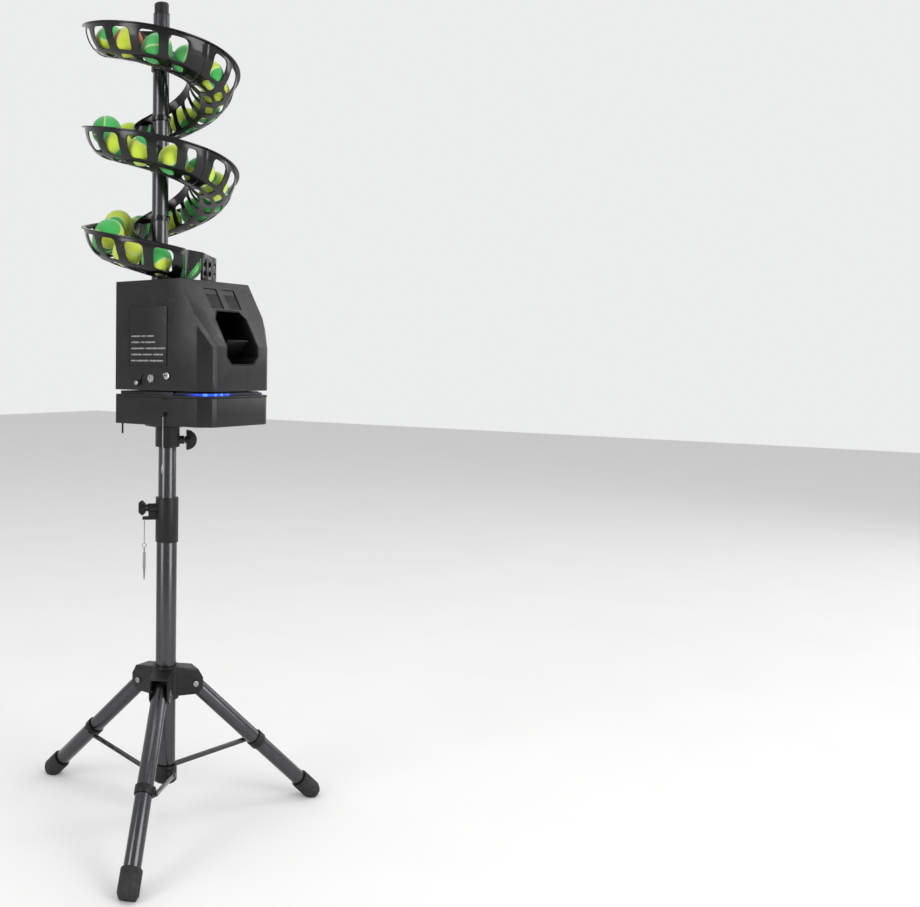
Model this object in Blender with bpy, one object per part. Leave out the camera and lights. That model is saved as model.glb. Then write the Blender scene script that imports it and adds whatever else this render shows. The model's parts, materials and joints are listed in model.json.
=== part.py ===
"""Tennis ball machine on a folding tripod, with a spiral ball store over the launcher housing.

Metres, +Z up, balls leave towards -Y. Shapes are drawn with the mast on the Z axis and moved at the end, so
that the origin is under the middle of the whole machine.
"""

import math

import bmesh
import bpy
from mathutils import Matrix, Vector

# Whole machine
MAST_Y = -0.0933
ROUND_STEPS = 24
SMALL_STEPS = 14
GAP = 0.0003
WELD = 0.000002

# Mast tubes
OUTER_TUBE_R = 0.0235
OUTER_TUBE_BORE_R = 0.0215
OUTER_TUBE_Z = (0.098, 0.700)
INNER_TUBE_R = 0.0205
INNER_TUBE_BORE_R = 0.0187
INNER_TUBE_Z = (0.420, 0.893)

# Height collar, its clamp screw and the tethered locking pin
COLLAR_R = 0.0263
COLLAR_Z = (0.640, 0.742)
COLLAR_STEP_Z = 0.7025
COLLAR_ANGLE = 140.0
CLAMP_Z = 0.718
CLAMP_BOSS_R = 0.0100
CLAMP_BOSS_REACH = (0.0235, 0.044)
SCREW_R = 0.0035
SCREW_BORE_R = 0.0038
KNOB_HUB_R = 0.0080
KNOB_START = 0.0455
KNOB_END = 0.066
WING_HALF_SPAN = 0.0165
CHAIN_REACH = 0.052
CHAIN_Z = (0.637, 0.6892)
CHAIN_R = 0.0022
TETHER_RING_R = 0.0055
PIN_Z = (0.553, 0.6255)
PIN_R = 0.0032

# Tripod
LEG_ANGLES = {"rear": 90.0, "left": -150.0, "right": -30.0}
LEG_PIVOT_REACH = 0.066
LEG_PIVOT_Z = 0.310
LEG_SPREAD = 46.5
LEG_LENGTH = 0.412
LEG_TOP_OVERHANG = 0.012
LEG_R = 0.0180
LEG_BORE_R = 0.0162
FOOT_R = 0.0225
FOOT_GRIP = 0.028
PIVOT_PIN_R = 0.0040
PIVOT_BORE_R = 0.0043
PIVOT_HEAD_R = 0.0068
HUB_Z = (0.280, 0.355)
HUB_SLEEVE_R = 0.0305
HUB_BORE_R = 0.0238
CHEEK_SIDE = (0.0186, 0.0222)
HUB_KNOB_ANGLE = 30.0
HUB_KNOB_Z = 0.322
BRACE_SIDE = (0.0240, 0.0268)
BRACE_PIVOT_REACH = 0.0235
BRACE_PIVOT_Z = 0.108
BRACE_LENGTH = 0.209
BRACE_RISE = 11.6
BRACE_HALF_WIDTH = 0.0060
RIVET_R = 0.0048
RIVET_HEIGHT = 0.0020
CLIP_REACH = 0.226
CLIP_R = 0.0212

# Neck under the head
NECK_R = 0.0280
NECK_Z = (0.858, 0.9145)
NECK_FLANGE_R = 0.052
NECK_SCREW_ANGLE = -48.0
NECK_SCREW_Z = 0.874

# Thin cord that hangs beside the neck
CORD_X = -0.1262
CORD_Y = -0.095
CORD_R = 0.0011
CORD_Z = (0.812, 0.9352)

# Base box and launcher housing share one plan
PLAN_HALF_WIDTH = 0.122
PLAN_FRONT = -0.212
PLAN_REAR = 0.055
PLAN_CORNER = 0.029
PLAN_REAR_CORNER = 0.006
WALL = 0.003
BASE_Z = (0.915, 0.9757)
DECK_Z = (0.976, 0.980)
DECK_STEP = 0.0075
DECK_STEP_INSET = 0.0185
DECK_EDGE_INSET = 0.0110
DECK_WELL_R = 0.0475
STRIP_END_Y = -0.110
HOUSING_Z = (0.990, 1.229)
SLOPE_LOW_Z = 1.085
SLOPE_TOP_Y = -0.135
MOUTH_HALF_WIDTH = 0.058
MOUTH_Z = (1.045, 1.165)
MOUTH_CORNER = 0.018
RECESS_X = (0.0095, 0.0540)
RECESS_Z = (1.168, 1.212)
BEZEL_WALL = 0.0028
INLET_CENTRE = (-0.012, -0.088)
INLET_R = 0.039

# Ball pole and spiral
POLE_Y = 0.028
POLE_R = 0.0188
POLE_Z = (1.1205, 1.842)
POLE_TIP_R = 0.0165
POLE_TIP_Z = 1.869
SPIRAL_MID_R = 0.117
SPIRAL_HALF_WIDTH = 0.057
SPIRAL_DEPTH = 0.072
SPIRAL_LIP = 0.007
SPIRAL_WALL = 0.0026
SPIRAL_PITCH = 0.2275
SPIRAL_TOP_Z = 1.817
SPIRAL_START = 131.0
SPIRAL_SEAMS = (131.0, 256.0, 436.0, 616.0, 796.0, 958.75)
SEAM_GAP = 0.15
WINDOW_PERIOD = 22.5
SECTION_ANGLES = (0, 9, 48, 60, 78, 88, 104, 118, 140, 160, 180)
WINDOW_ROWS = (2,)
SLOT_ROWS = (4, 6, 8, 9)

# Guard round the spiral's end: a rim cut away below, then a pierced wall
GUARD_CUT_ANGLES = (239.4, 255.0)
GUARD_CUT_STEPS = 4
GUARD_WALL_STEPS = 4
GUARD_END_ANGLE = 268.0
GUARD_REACH = (0.1735, 0.1640, 0.1570)
GUARD_TOP_Z = (1.2930, 1.2900, 1.2830, 1.2770)
GUARD_RIM_DEPTH = 0.0120
GUARD_RETURN = (
    (0.010, -0.126),
    (0.022, -0.120),
    (0.032, -0.110),
    (0.038, -0.096),
    (0.040, -0.080),
    (0.040, -0.062),
)
GUARD_HOLE_Z = (1.2440, 1.2640)
GUARD_HOLE_R = 0.0058

# Launcher
ARM_PIVOT = (-0.050, 1.012)
ARM_SHAFT_R = 0.0050
ARM_LEAN = 15.0
PAD_DISTANCE = 0.095
PAD_R = 0.020
FRAME_SIDE = (0.047, 0.050)
WHEEL_CENTRE = (-0.002, 1.020)
WHEEL_R = 0.022
FEED_CENTRE = (-0.045, 1.175)
FEED_R = 0.036


def clear_scene():
    """Removes whatever the empty file holds."""
    for old in list(bpy.data.objects):
        bpy.data.objects.remove(old, do_unlink=True)


def make_body(name, points, faces):
    """One closed mesh object with its faces turned outward."""
    mesh = bpy.data.meshes.new(name)
    mesh.from_pydata([tuple(p) for p in points], [], [tuple(f) for f in faces])
    shape = bmesh.new()
    shape.from_mesh(mesh)
    bmesh.ops.recalc_face_normals(shape, faces=shape.faces)
    shape.to_mesh(mesh)
    shape.free()
    body = bpy.data.objects.new(name, mesh)
    bpy.context.scene.collection.objects.link(body)
    return body


def turned(name, profile, steps=ROUND_STEPS):
    """Turns a closed profile of (radius, height) points about the Z axis."""
    points = []
    rings = []
    for radius, height in profile:
        if radius < 1e-9:
            rings.append([len(points)] * steps)
            points.append((0.0, 0.0, height))
            continue
        rings.append(list(range(len(points), len(points) + steps)))
        for i in range(steps):
            angle = 2 * math.pi * i / steps
            points.append((radius * math.cos(angle), radius * math.sin(angle), height))
    faces = []
    for this, following in zip(rings, rings[1:] + rings[:1]):
        for i in range(steps):
            j = (i + 1) % steps
            corners = []
            for corner in (this[i], this[j], following[j], following[i]):
                if corner not in corners:
                    corners.append(corner)
            if len(corners) > 2:
                faces.append(corners)
    return make_body(name, points, faces)


def disc(name, radius, low, high, steps=ROUND_STEPS):
    """A solid cylinder on the Z axis."""
    return turned(name, [(0, low), (radius, low), (radius, high), (0, high)], steps)


def ring(name, inner, outer, low, high, steps=ROUND_STEPS):
    """A tube on the Z axis."""
    return turned(name, [(inner, low), (outer, low), (outer, high), (inner, high)], steps)


def prism(name, outline, low, high):
    """Raises an outline of (x, y) points from one height to another."""
    count = len(outline)
    points = [(x, y, low) for x, y in outline] + [(x, y, high) for x, y in outline]
    faces = [tuple(range(count)), tuple(range(count, 2 * count))]
    for i in range(count):
        j = (i + 1) % count
        faces.append((i, j, count + j, count + i))
    return make_body(name, points, faces)


def across(name, outline, low, high):
    """Draws an outline of (y, z) points out along X."""
    count = len(outline)
    points = [(low, y, z) for y, z in outline] + [(high, y, z) for y, z in outline]
    faces = [tuple(range(count)), tuple(range(count, 2 * count))]
    for i in range(count):
        j = (i + 1) % count
        faces.append((i, j, count + j, count + i))
    return make_body(name, points, faces)


def block(name, x, y, z):
    """A box from its three spans."""
    return prism(name, [(x[0], y[0]), (x[1], y[0]), (x[1], y[1]), (x[0], y[1])], z[0], z[1])


def rod(name, start, end, radius, steps=SMALL_STEPS):
    """A solid cylinder between two points."""
    start = Vector(start)
    line = Vector(end) - start
    body = disc(name, radius, 0.0, line.length, steps)
    turn = line.to_track_quat("Z", "Y").to_matrix().to_4x4()
    body.data.transform(Matrix.Translation(start) @ turn)
    return body


def weld(mesh):
    """Joins the near-coincident points that a boolean leaves."""
    shape = bmesh.new()
    shape.from_mesh(mesh)
    bmesh.ops.remove_doubles(shape, verts=shape.verts, dist=WELD)
    bmesh.ops.dissolve_degenerate(shape, edges=shape.edges, dist=WELD)
    shape.to_mesh(mesh)
    shape.free()


def combine(body, tools, operation):
    """Applies one exact boolean per tool and removes the tools."""
    for tool in tools:
        step = body.modifiers.new("step", "BOOLEAN")
        step.operation = operation
        step.solver = "EXACT"
        step.object = tool
        bpy.context.view_layer.update()
        done = body.evaluated_get(bpy.context.evaluated_depsgraph_get())
        mesh = bpy.data.meshes.new_from_object(done)
        body.modifiers.remove(step)
        weld(mesh)
        mesh.name = body.name
        body.data = mesh
        bpy.data.objects.remove(tool, do_unlink=True)
    return body


def fuse(body, *tools):
    return combine(body, tools, "UNION")


def carve(body, *tools):
    return combine(body, tools, "DIFFERENCE")


def keep_inside(body, tool):
    return combine(body, [tool], "INTERSECT")


def aim(body, angle):
    """Turns a body drawn towards +X so that it points at an angle in plan."""
    body.data.transform(Matrix.Rotation(math.radians(angle), 4, "Z"))
    return body


def radial_rod(name, start, end, z, radius, side=0.0):
    """A rod that leaves the mast along +X at one height."""
    return rod(name, (start, side, z), (end, side, z), radius)


# ---------------------------------------------------------------- mast


def make_outer_tube():
    ring("outer_tube", OUTER_TUBE_BORE_R, OUTER_TUBE_R, OUTER_TUBE_Z[0], OUTER_TUBE_Z[1])


def make_inner_tube():
    ring("inner_tube", INNER_TUBE_BORE_R, INNER_TUBE_R, INNER_TUBE_Z[0], INNER_TUBE_Z[1])


def make_brace_collar():
    """Cup at the foot of the mast with a lug beside each brace."""
    floor_z = OUTER_TUBE_Z[0] - 0.0005
    bore_r = OUTER_TUBE_R + GAP
    body = turned(
        "brace_collar",
        [(0, 0.085), (0.024, 0.085), (0.0275, 0.089), (0.0275, 0.125), (0, 0.125)],
    )
    for angle in LEG_ANGLES.values():
        lug = across("lug", [(0.012, 0.097), (0.0236, 0.097), (0.0236, 0.119), (0.012, 0.119)], 0.006, 0.032)
        fuse(body, aim(lug, angle))
    carve(body, disc("bore", bore_r, floor_z, 0.140))


def make_height_collar():
    """Stepped sleeve that grips both tubes, with the screw boss and the chain's eye."""
    low, high = COLLAR_Z
    body = disc("height_collar", COLLAR_R, low, high)
    boss = radial_rod("boss", 0.015, CLAMP_BOSS_REACH[1], CLAMP_Z, CLAMP_BOSS_R)
    hook = [
        (0.022, 0.6905),
        (0.0565, 0.6905),
        (0.0565, 0.6985),
        (0.043, 0.6985),
        (0.043, 0.715),
        (0.022, 0.715),
    ]
    eye = across("eye", hook, -0.002, 0.002)
    fuse(body, aim(boss, COLLAR_ANGLE), aim(eye, COLLAR_ANGLE - 90))
    carve(
        body,
        disc("wide", OUTER_TUBE_R + GAP, low - 0.01, COLLAR_STEP_Z),
        disc("narrow", INNER_TUBE_R + GAP, low - 0.01, high + 0.01),
        aim(radial_rod("bore", 0.010, 0.050, CLAMP_Z, SCREW_BORE_R), COLLAR_ANGLE),
    )


def wing_knob(name, z, angle, start, end, tip_reach):
    """Screw, knob hub and a flat wing in one piece."""
    body = radial_rod(name, start - 0.001, end - 0.006, z, KNOB_HUB_R)
    screw = radial_rod("screw", tip_reach, start + 0.002, z, SCREW_R)
    wing = wing_plate("wing", z, start + 0.004, end)
    fuse(body, screw, wing)
    return aim(body, angle)


def wing_plate(name, z, start, end):
    """Plate with cropped corners that lies along the screw."""
    crop = 0.006
    outline = [
        (start, z - WING_HALF_SPAN + crop),
        (start + crop, z - WING_HALF_SPAN),
        (end - crop, z - WING_HALF_SPAN),
        (end, z - WING_HALF_SPAN + crop),
        (end, z + WING_HALF_SPAN - crop),
        (end - crop, z + WING_HALF_SPAN),
        (start + crop, z + WING_HALF_SPAN),
        (start, z + WING_HALF_SPAN - crop),
    ]
    plate = across(name, outline, -0.0028, 0.0028)
    plate.data.transform(Matrix.Rotation(math.radians(90), 4, "Z") @ Matrix.Scale(-1, 4, (0, 1, 0)))
    plate.data.flip_normals()
    return plate


def make_height_knob():
    wing_knob("height_knob", CLAMP_Z, COLLAR_ANGLE, KNOB_START, KNOB_END, INNER_TUBE_R + 0.0008)


def make_chain():
    """The chain's envelope as one slim rod, with the ring at its lower end."""
    body = disc("chain", CHAIN_R, CHAIN_Z[0] - 0.001, CHAIN_Z[1], SMALL_STEPS)
    loop = ring("loop", TETHER_RING_R - 0.0018, TETHER_RING_R, -0.0009, 0.0009, SMALL_STEPS)
    turn = Matrix.Rotation(math.radians(90), 4, "X")
    loop.data.transform(Matrix.Translation((0, 0, CHAIN_Z[0] - TETHER_RING_R)) @ turn)
    fuse(body, loop)
    body.data.transform(Matrix.Translation((CHAIN_REACH, 0, 0)))
    aim(body, COLLAR_ANGLE)


def make_lock_pin():
    """Tapered pin with a flat head that hangs from the ring."""
    low, high = PIN_Z
    body = turned(
        "lock_pin",
        [(0, low), (0.0012, low), (PIN_R, low + 0.030), (PIN_R, high - 0.010), (0, high - 0.010)],
        SMALL_STEPS,
    )
    head = block("head", (-0.0012, 0.0012), (-0.0048, 0.0048), (high - 0.012, high))
    fuse(body, head)
    body.data.transform(Matrix.Translation((CHAIN_REACH, 0, 0)))
    aim(body, COLLAR_ANGLE)


# ---------------------------------------------------------------- tripod


def make_leg_hub():
    """Sliding sleeve with a covered pair of cheeks for each leg."""
    low, high = HUB_Z
    body = disc("leg_hub", HUB_SLEEVE_R, low, high)
    cheek = [(0.020, 0.286), (0.070, 0.286), (0.084, 0.298), (0.084, 0.324), (0.072, 0.344), (0.020, 0.352)]
    cover = [(0.020, 0.3385), (0.0755, 0.3385), (0.072, 0.344), (0.020, 0.352)]
    inner, outer = CHEEK_SIDE
    for angle in LEG_ANGLES.values():
        for outline, low_side, high_side in (
            (cover, -outer, outer),
            (cheek, inner, outer),
            (cheek, -outer, -inner),
        ):
            piece = across("piece", outline, low_side, high_side)
            aim(piece, angle - 90)
            fuse(body, piece)
    boss = aim(radial_rod("boss", 0.020, 0.041, HUB_KNOB_Z, 0.0095), HUB_KNOB_ANGLE)
    fuse(body, boss)
    carve(
        body,
        disc("bore", HUB_BORE_R, low - 0.01, high + 0.01),
        aim(radial_rod("screw_bore", 0.010, 0.060, HUB_KNOB_Z, SCREW_BORE_R), HUB_KNOB_ANGLE),
    )
    for angle in LEG_ANGLES.values():
        start = (LEG_PIVOT_REACH, -0.03, LEG_PIVOT_Z)
        end = (LEG_PIVOT_REACH, 0.03, LEG_PIVOT_Z)
        hole = rod("hole", start, end, PIVOT_BORE_R)
        carve(body, aim(hole, angle))


def make_hub_knob():
    """Fluted clamp knob with its screw."""
    body = radial_rod("hub_knob", 0.0425, 0.056, HUB_KNOB_Z, 0.0150)
    screw = radial_rod("screw", OUTER_TUBE_R + 0.0008, 0.046, HUB_KNOB_Z, SCREW_R)
    fuse(body, screw)
    flutes = 6
    for i in range(flutes):
        angle = 2 * math.pi * i / flutes
        side, height = 0.0165 * math.cos(angle), 0.0165 * math.sin(angle)
        groove_z = HUB_KNOB_Z + height
        groove = rod("groove", (0.040, side, groove_z), (0.058, side, groove_z), 0.0035, 12)
        carve(body, groove)
    aim(body, HUB_KNOB_ANGLE)


def make_hub_pin(place, angle):
    """Riveted pin through one pair of cheeks."""
    outer = CHEEK_SIDE[1] + GAP
    head = outer + RIVET_HEIGHT
    centre = (LEG_PIVOT_REACH, LEG_PIVOT_Z)
    body = rod("hub_pin_" + place, (centre[0], -head, centre[1]), (centre[0], head, centre[1]), PIVOT_PIN_R)
    for sign in (-1, 1):
        cap = rod(
            "cap",
            (centre[0], sign * outer, centre[1]),
            (centre[0], sign * head, centre[1]),
            PIVOT_HEAD_R,
        )
        fuse(body, cap)
    aim(body, angle)


def leg_frame():
    """Matrix whose Z axis runs down a leg that leaves towards +X."""
    lean = math.radians(180 - LEG_SPREAD)
    return Matrix.Translation((LEG_PIVOT_REACH, 0, LEG_PIVOT_Z)) @ Matrix.Rotation(lean, 4, "Y")


def make_leg(place, angle):
    body = ring("leg_tube_" + place, LEG_BORE_R, LEG_R, -LEG_TOP_OVERHANG, LEG_LENGTH)
    carve(body, rod("hole", (0, -0.03, 0), (0, 0.03, 0), PIVOT_BORE_R))
    body.data.transform(leg_frame())
    aim(body, angle)


def make_foot(place, angle):
    """Rubber boot over the leg's end, cut level with the floor."""
    top = LEG_LENGTH - FOOT_GRIP
    body = turned(
        "foot_" + place,
        [
            (0, LEG_LENGTH + 0.0004),
            (LEG_R + GAP, LEG_LENGTH + 0.0004),
            (LEG_R + GAP, top),
            (FOOT_R - 0.001, top),
            (FOOT_R, top + 0.002),
            (FOOT_R, LEG_LENGTH + 0.020),
            (FOOT_R - 0.005, LEG_LENGTH + 0.030),
            (0, LEG_LENGTH + 0.032),
        ],
    )
    body.data.transform(leg_frame())
    carve(body, block("floor", (0.2, 0.6), (-0.1, 0.1), (-0.2, 0.0)))
    aim(body, angle)


def make_clip(place, angle):
    """Band round a leg with the pad its brace is riveted to."""
    body = disc("leg_clip_" + place, CLIP_R, CLIP_REACH - 0.009, CLIP_REACH + 0.009)
    pad = block("pad", (-0.0085, 0.0085), (0.010, 0.0236), (CLIP_REACH - 0.0085, CLIP_REACH + 0.0085))
    fuse(body, pad)
    carve(body, disc("bore", LEG_R + GAP, CLIP_REACH - 0.02, CLIP_REACH + 0.02))
    body.data.transform(leg_frame())
    aim(body, angle)


def make_brace(place, angle):
    """Flat bar with a rivet head at each end."""
    inner, outer = BRACE_SIDE
    half = BRACE_HALF_WIDTH
    outline = []
    for centre, first in ((BRACE_LENGTH, -90), (0.0, 90)):
        for i in range(7):
            turn = math.radians(first + 30 * i)
            outline.append((centre + half * math.cos(turn), half * math.sin(turn)))
    body = prism("brace_" + place, outline, inner, outer)
    for centre in (0.0, BRACE_LENGTH):
        head = disc("head", RIVET_R, outer - 0.001, outer + RIVET_HEIGHT, SMALL_STEPS)
        head.data.transform(Matrix.Translation((centre, 0, 0)))
        fuse(body, head)
    stand_up = Matrix.Rotation(math.radians(90), 4, "X") @ Matrix.Scale(-1, 4, (0, 0, 1))
    body.data.transform(stand_up)
    body.data.flip_normals()
    rise = Matrix.Rotation(math.radians(-BRACE_RISE), 4, "Y")
    body.data.transform(Matrix.Translation((BRACE_PIVOT_REACH, 0, BRACE_PIVOT_Z)) @ rise)
    aim(body, angle)


# ---------------------------------------------------------------- neck and base


def make_neck_socket():
    """Flanged socket that drops over the mast and carries the head."""
    low, high = NECK_Z
    flange_z = high - 0.008
    body = turned(
        "neck_socket",
        [
            (INNER_TUBE_R + GAP, low),
            (NECK_R - 0.0015, low),
            (NECK_R, low + 0.0015),
            (NECK_R, flange_z - 0.004),
            (NECK_FLANGE_R, flange_z),
            (NECK_FLANGE_R, high),
            (0, high),
            (0, INNER_TUBE_Z[1] + 0.004),
            (INNER_TUBE_R + GAP, INNER_TUBE_Z[1] + 0.004),
        ],
    )
    boss = aim(radial_rod("boss", 0.024, 0.0385, NECK_SCREW_Z, 0.0095), NECK_SCREW_ANGLE)
    fuse(body, boss)
    carve(
        body,
        disc("bore", INNER_TUBE_R + GAP, low - 0.01, INNER_TUBE_Z[1] + 0.002),
        aim(radial_rod("screw_bore", 0.010, 0.050, NECK_SCREW_Z, SCREW_BORE_R), NECK_SCREW_ANGLE),
    )


def make_neck_knob():
    """Screw with a half-moon grip."""
    body = radial_rod("neck_knob", 0.0395, 0.052, NECK_SCREW_Z, KNOB_HUB_R)
    screw = radial_rod("screw", INNER_TUBE_R + 0.0008, 0.042, NECK_SCREW_Z, SCREW_R)
    radius = 0.023
    outline = [(0.0430, NECK_SCREW_Z + radius), (0.0430, NECK_SCREW_Z - radius)]
    for i in range(9):
        turn = math.radians(-80 + 20 * i)
        outline.append((0.0445 + radius * math.cos(turn), NECK_SCREW_Z + radius * math.sin(turn)))
    grip = across("grip", outline, -0.0032, 0.0032)
    grip.data.transform(Matrix.Rotation(math.radians(90), 4, "Z") @ Matrix.Scale(-1, 4, (0, 1, 0)))
    grip.data.flip_normals()
    fuse(body, screw, grip)
    aim(body, NECK_SCREW_ANGLE)


def plan(inset):
    """Outline shared by the base and the housing, moved in from the wall."""
    half = PLAN_HALF_WIDTH - inset
    front = PLAN_FRONT + inset
    rear = PLAN_REAR - inset
    corner = PLAN_CORNER - inset * (2 - math.sqrt(2))
    back_corner = max(PLAN_REAR_CORNER - inset * (2 - math.sqrt(2)), 0.001)
    return [
        (-half + corner, front),
        (half - corner, front),
        (half, front + corner),
        (half, rear - back_corner),
        (half - back_corner, rear),
        (-half + back_corner, rear),
        (-half, rear - back_corner),
        (-half, front + corner),
    ]


def make_base_tub():
    """Open box under the deck."""
    low, high = BASE_Z
    body = prism("base_tub", plan(0.001), low, high)
    carve(body, prism("inside", plan(0.001 + WALL), low + WALL, high + 0.01))


def make_base_deck():
    """Lid of the base, raised inside the light strip, with a well for the swivel ring."""
    body = prism("base_deck", plan(0.001), DECK_Z[0], DECK_Z[1])
    raised = prism("raised", plan(DECK_EDGE_INSET), DECK_Z[0] + 0.001, DECK_Z[1] + DECK_STEP)
    carve(raised, block("front", (-0.2, 0.2), (-0.3, STRIP_END_Y + GAP), (DECK_Z[0], DECK_Z[1] + 0.02)))
    fuse(body, prism("step", plan(DECK_STEP_INSET), DECK_Z[0] + 0.001, DECK_Z[1] + DECK_STEP), raised)
    carve(body, disc("well", DECK_WELL_R, DECK_Z[1], DECK_Z[1] + 0.02))


def make_battery_pack():
    block("battery_pack", (-0.105, -0.020), (-0.175, -0.065), (0.9185, 0.968))


def make_swing_motor():
    """Geared motor that turns the housing on the base."""
    body = disc("swing_motor", 0.019, 0.9185, 0.958)
    top = disc("top", 0.012, 0.957, 0.9755)
    fuse(body, top)
    body.data.transform(Matrix.Translation((0.062, -0.060, 0)))


def make_swivel_ring():
    ring("swivel_ring", 0.034, 0.046, DECK_Z[1] + GAP, HOUSING_Z[0] - GAP)


def make_light_strip():
    """Lit band along the front of the gap between base and housing."""
    low = DECK_Z[1] + GAP
    high = low + 0.005
    body = prism("light_strip", plan(0.012), low, high)
    carve(
        body,
        prism("inside", plan(0.017), low - 0.01, high + 0.01),
        block("rear", (-0.2, 0.2), (STRIP_END_Y, 0.2), (low - 0.01, high + 0.01)),
    )


def make_aerial_stub():
    rod("aerial_stub", (-0.108, 0.040, 0.892), (-0.108, 0.040, BASE_Z[0] - GAP), 0.0022)


def make_cord_gland():
    """Round gland on the base's side that the thin cord hangs from."""
    wall_x = -PLAN_HALF_WIDTH + 0.001 - GAP
    rod("cord_gland", (wall_x, CORD_Y, 0.940), (CORD_X - 0.0025, CORD_Y, 0.940), 0.0045)


def make_pull_cord():
    """Thin cord that hangs from the gland, with a bead at its end."""
    body = disc("pull_cord", CORD_R, CORD_Z[0] + 0.010, CORD_Z[1], 12)
    bead = turned(
        "bead",
        [
            (0, CORD_Z[0]),
            (0.0030, CORD_Z[0] + 0.003),
            (0.0034, CORD_Z[0] + 0.008),
            (0.0016, CORD_Z[0] + 0.020),
            (0, CORD_Z[0] + 0.020),
        ],
        12,
    )
    fuse(body, bead)
    body.data.transform(Matrix.Translation((CORD_X, CORD_Y, 0)))


# ---------------------------------------------------------------- housing


def slope_line(inset):
    """Where the sloped front, moved in from its face, meets the front wall and the top."""
    run = SLOPE_TOP_Y - PLAN_FRONT
    rise = HOUSING_Z[1] - SLOPE_LOW_Z
    length = math.hypot(run, rise)
    y = PLAN_FRONT + inset * rise / length
    z = SLOPE_LOW_Z - inset * run / length
    grade = rise / run
    front = PLAN_FRONT + inset
    top = HOUSING_Z[1] - inset
    return (front, z + (front - y) * grade), (y + (top - z) / grade, top)


def housing_solid(name, inset, low):
    """The housing's filled shape, moved in from its outer faces."""
    low_point, top_point = slope_line(inset)
    rear = PLAN_REAR - inset
    outline = [(rear, low), (PLAN_FRONT + inset, low), low_point, top_point, (rear, top_point[1])]
    body = prism(name, plan(inset), low, HOUSING_Z[1] - inset)
    return keep_inside(body, across("sides", outline, -0.2, 0.2))


def mouth_outline(inset):
    """Long octagon of the ball's way out, as (x, z)."""
    half = MOUTH_HALF_WIDTH - inset
    low, high = MOUTH_Z[0] + inset, MOUTH_Z[1] - inset
    corner = MOUTH_CORNER - inset * (2 - math.sqrt(2))
    return [
        (-half + corner, low),
        (half - corner, low),
        (half, low + corner),
        (half, high - corner),
        (half - corner, high),
        (-half + corner, high),
        (-half, high - corner),
        (-half, low + corner),
    ]


def mouth_prism(name, inset, rear):
    """The mouth's outline drawn back from well ahead of the housing."""
    front = PLAN_FRONT - 0.03
    outline = mouth_outline(inset)
    count = len(outline)
    points = [(x, front, z) for x, z in outline] + [(x, rear, z) for x, z in outline]
    faces = [tuple(range(count)), tuple(range(count, 2 * count))]
    for i in range(count):
        j = (i + 1) % count
        faces.append((i, j, count + j, count + i))
    return make_body(name, points, faces)


def make_housing_shell():
    """Open-bottomed cover with the mouth, the ball inlet and the pole's hole."""
    body = housing_solid("housing_shell", 0.0, HOUSING_Z[0])
    inside = housing_solid("inside", WALL, HOUSING_Z[0] - 0.01)
    inlet = disc("inlet", INLET_R, HOUSING_Z[1] - 0.02, HOUSING_Z[1] + 0.02)
    inlet.data.transform(Matrix.Translation((INLET_CENTRE[0], INLET_CENTRE[1], 0)))
    pole = disc("pole", POLE_R + GAP, HOUSING_Z[1] - 0.02, HOUSING_Z[1] + 0.02)
    pole.data.transform(Matrix.Translation((0, POLE_Y, 0)))
    carve(body, inside, mouth_prism("mouth", 0.0, -0.130), inlet, pole)
    grade = (HOUSING_Z[1] - SLOPE_LOW_Z) / (SLOPE_TOP_Y - PLAN_FRONT)
    depth = 0.0018
    low_z, high_z = RECESS_Z
    low_y = PLAN_FRONT + (low_z - SLOPE_LOW_Z) / grade
    high_y = PLAN_FRONT + (high_z - SLOPE_LOW_Z) / grade
    outline = [
        (low_y - 0.01, low_z),
        (low_y + depth, low_z),
        (high_y + depth, high_z),
        (high_y - 0.01, high_z),
    ]
    for left, right in ((-RECESS_X[1], -RECESS_X[0]), RECESS_X):
        carve(body, across("recess", outline, left, right))


def make_front_bezel():
    """Lining of the mouth, flush with the sloped face."""
    body = mouth_prism("front_bezel", 0.0004, -0.145)
    carve(body, mouth_prism("hole", 0.0004 + BEZEL_WALL, -0.100))
    keep_inside(body, housing_solid("limit", 0.0002, HOUSING_Z[0]))


def make_floor_plate():
    prism("floor_plate", plan(WALL + GAP), HOUSING_Z[0], HOUSING_Z[0] + 0.003)


def make_label_plate():
    """Blank rating plate on the side."""
    face = -PLAN_HALF_WIDTH - GAP
    block("label_plate", (face - 0.0010, face), (-0.101, 0.006), (1.044, 1.171))


def make_charge_socket():
    """Round power inlet in the side."""
    face = -PLAN_HALF_WIDTH - GAP
    body = rod("charge_socket", (face - 0.004, -0.058, 1.016), (face, -0.058, 1.016), 0.0085)
    carve(body, rod("hole", (face - 0.010, -0.058, 1.016), (face - 0.0015, -0.058, 1.016), 0.0052))


def make_dust_cap():
    """Cap on a strap beside the power inlet."""
    face = -PLAN_HALF_WIDTH - GAP
    body = rod("dust_cap", (face - 0.007, -0.020, 1.006), (face - 0.0008, -0.020, 1.006), 0.0062)
    strap = block("strap", (face - 0.0026, face - 0.0010), (-0.0016, 0.0016), (-0.001, 0.022))
    swing = Matrix.Rotation(math.radians(32), 4, "X")
    strap.data.transform(Matrix.Translation((0, -0.020, 1.006)) @ swing)
    fuse(body, strap)


def make_power_switch():
    """Chrome toggle beside the inlet."""
    face = -PLAN_HALF_WIDTH - GAP
    body = rod("power_switch", (face - 0.005, -0.104, 1.022), (face, -0.104, 1.022), 0.0075)
    lever = rod("lever", (face - 0.003, -0.104, 1.022), (face - 0.015, -0.104, 1.026), 0.0022, 12)
    fuse(body, lever)


# ---------------------------------------------------------------- launcher


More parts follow.
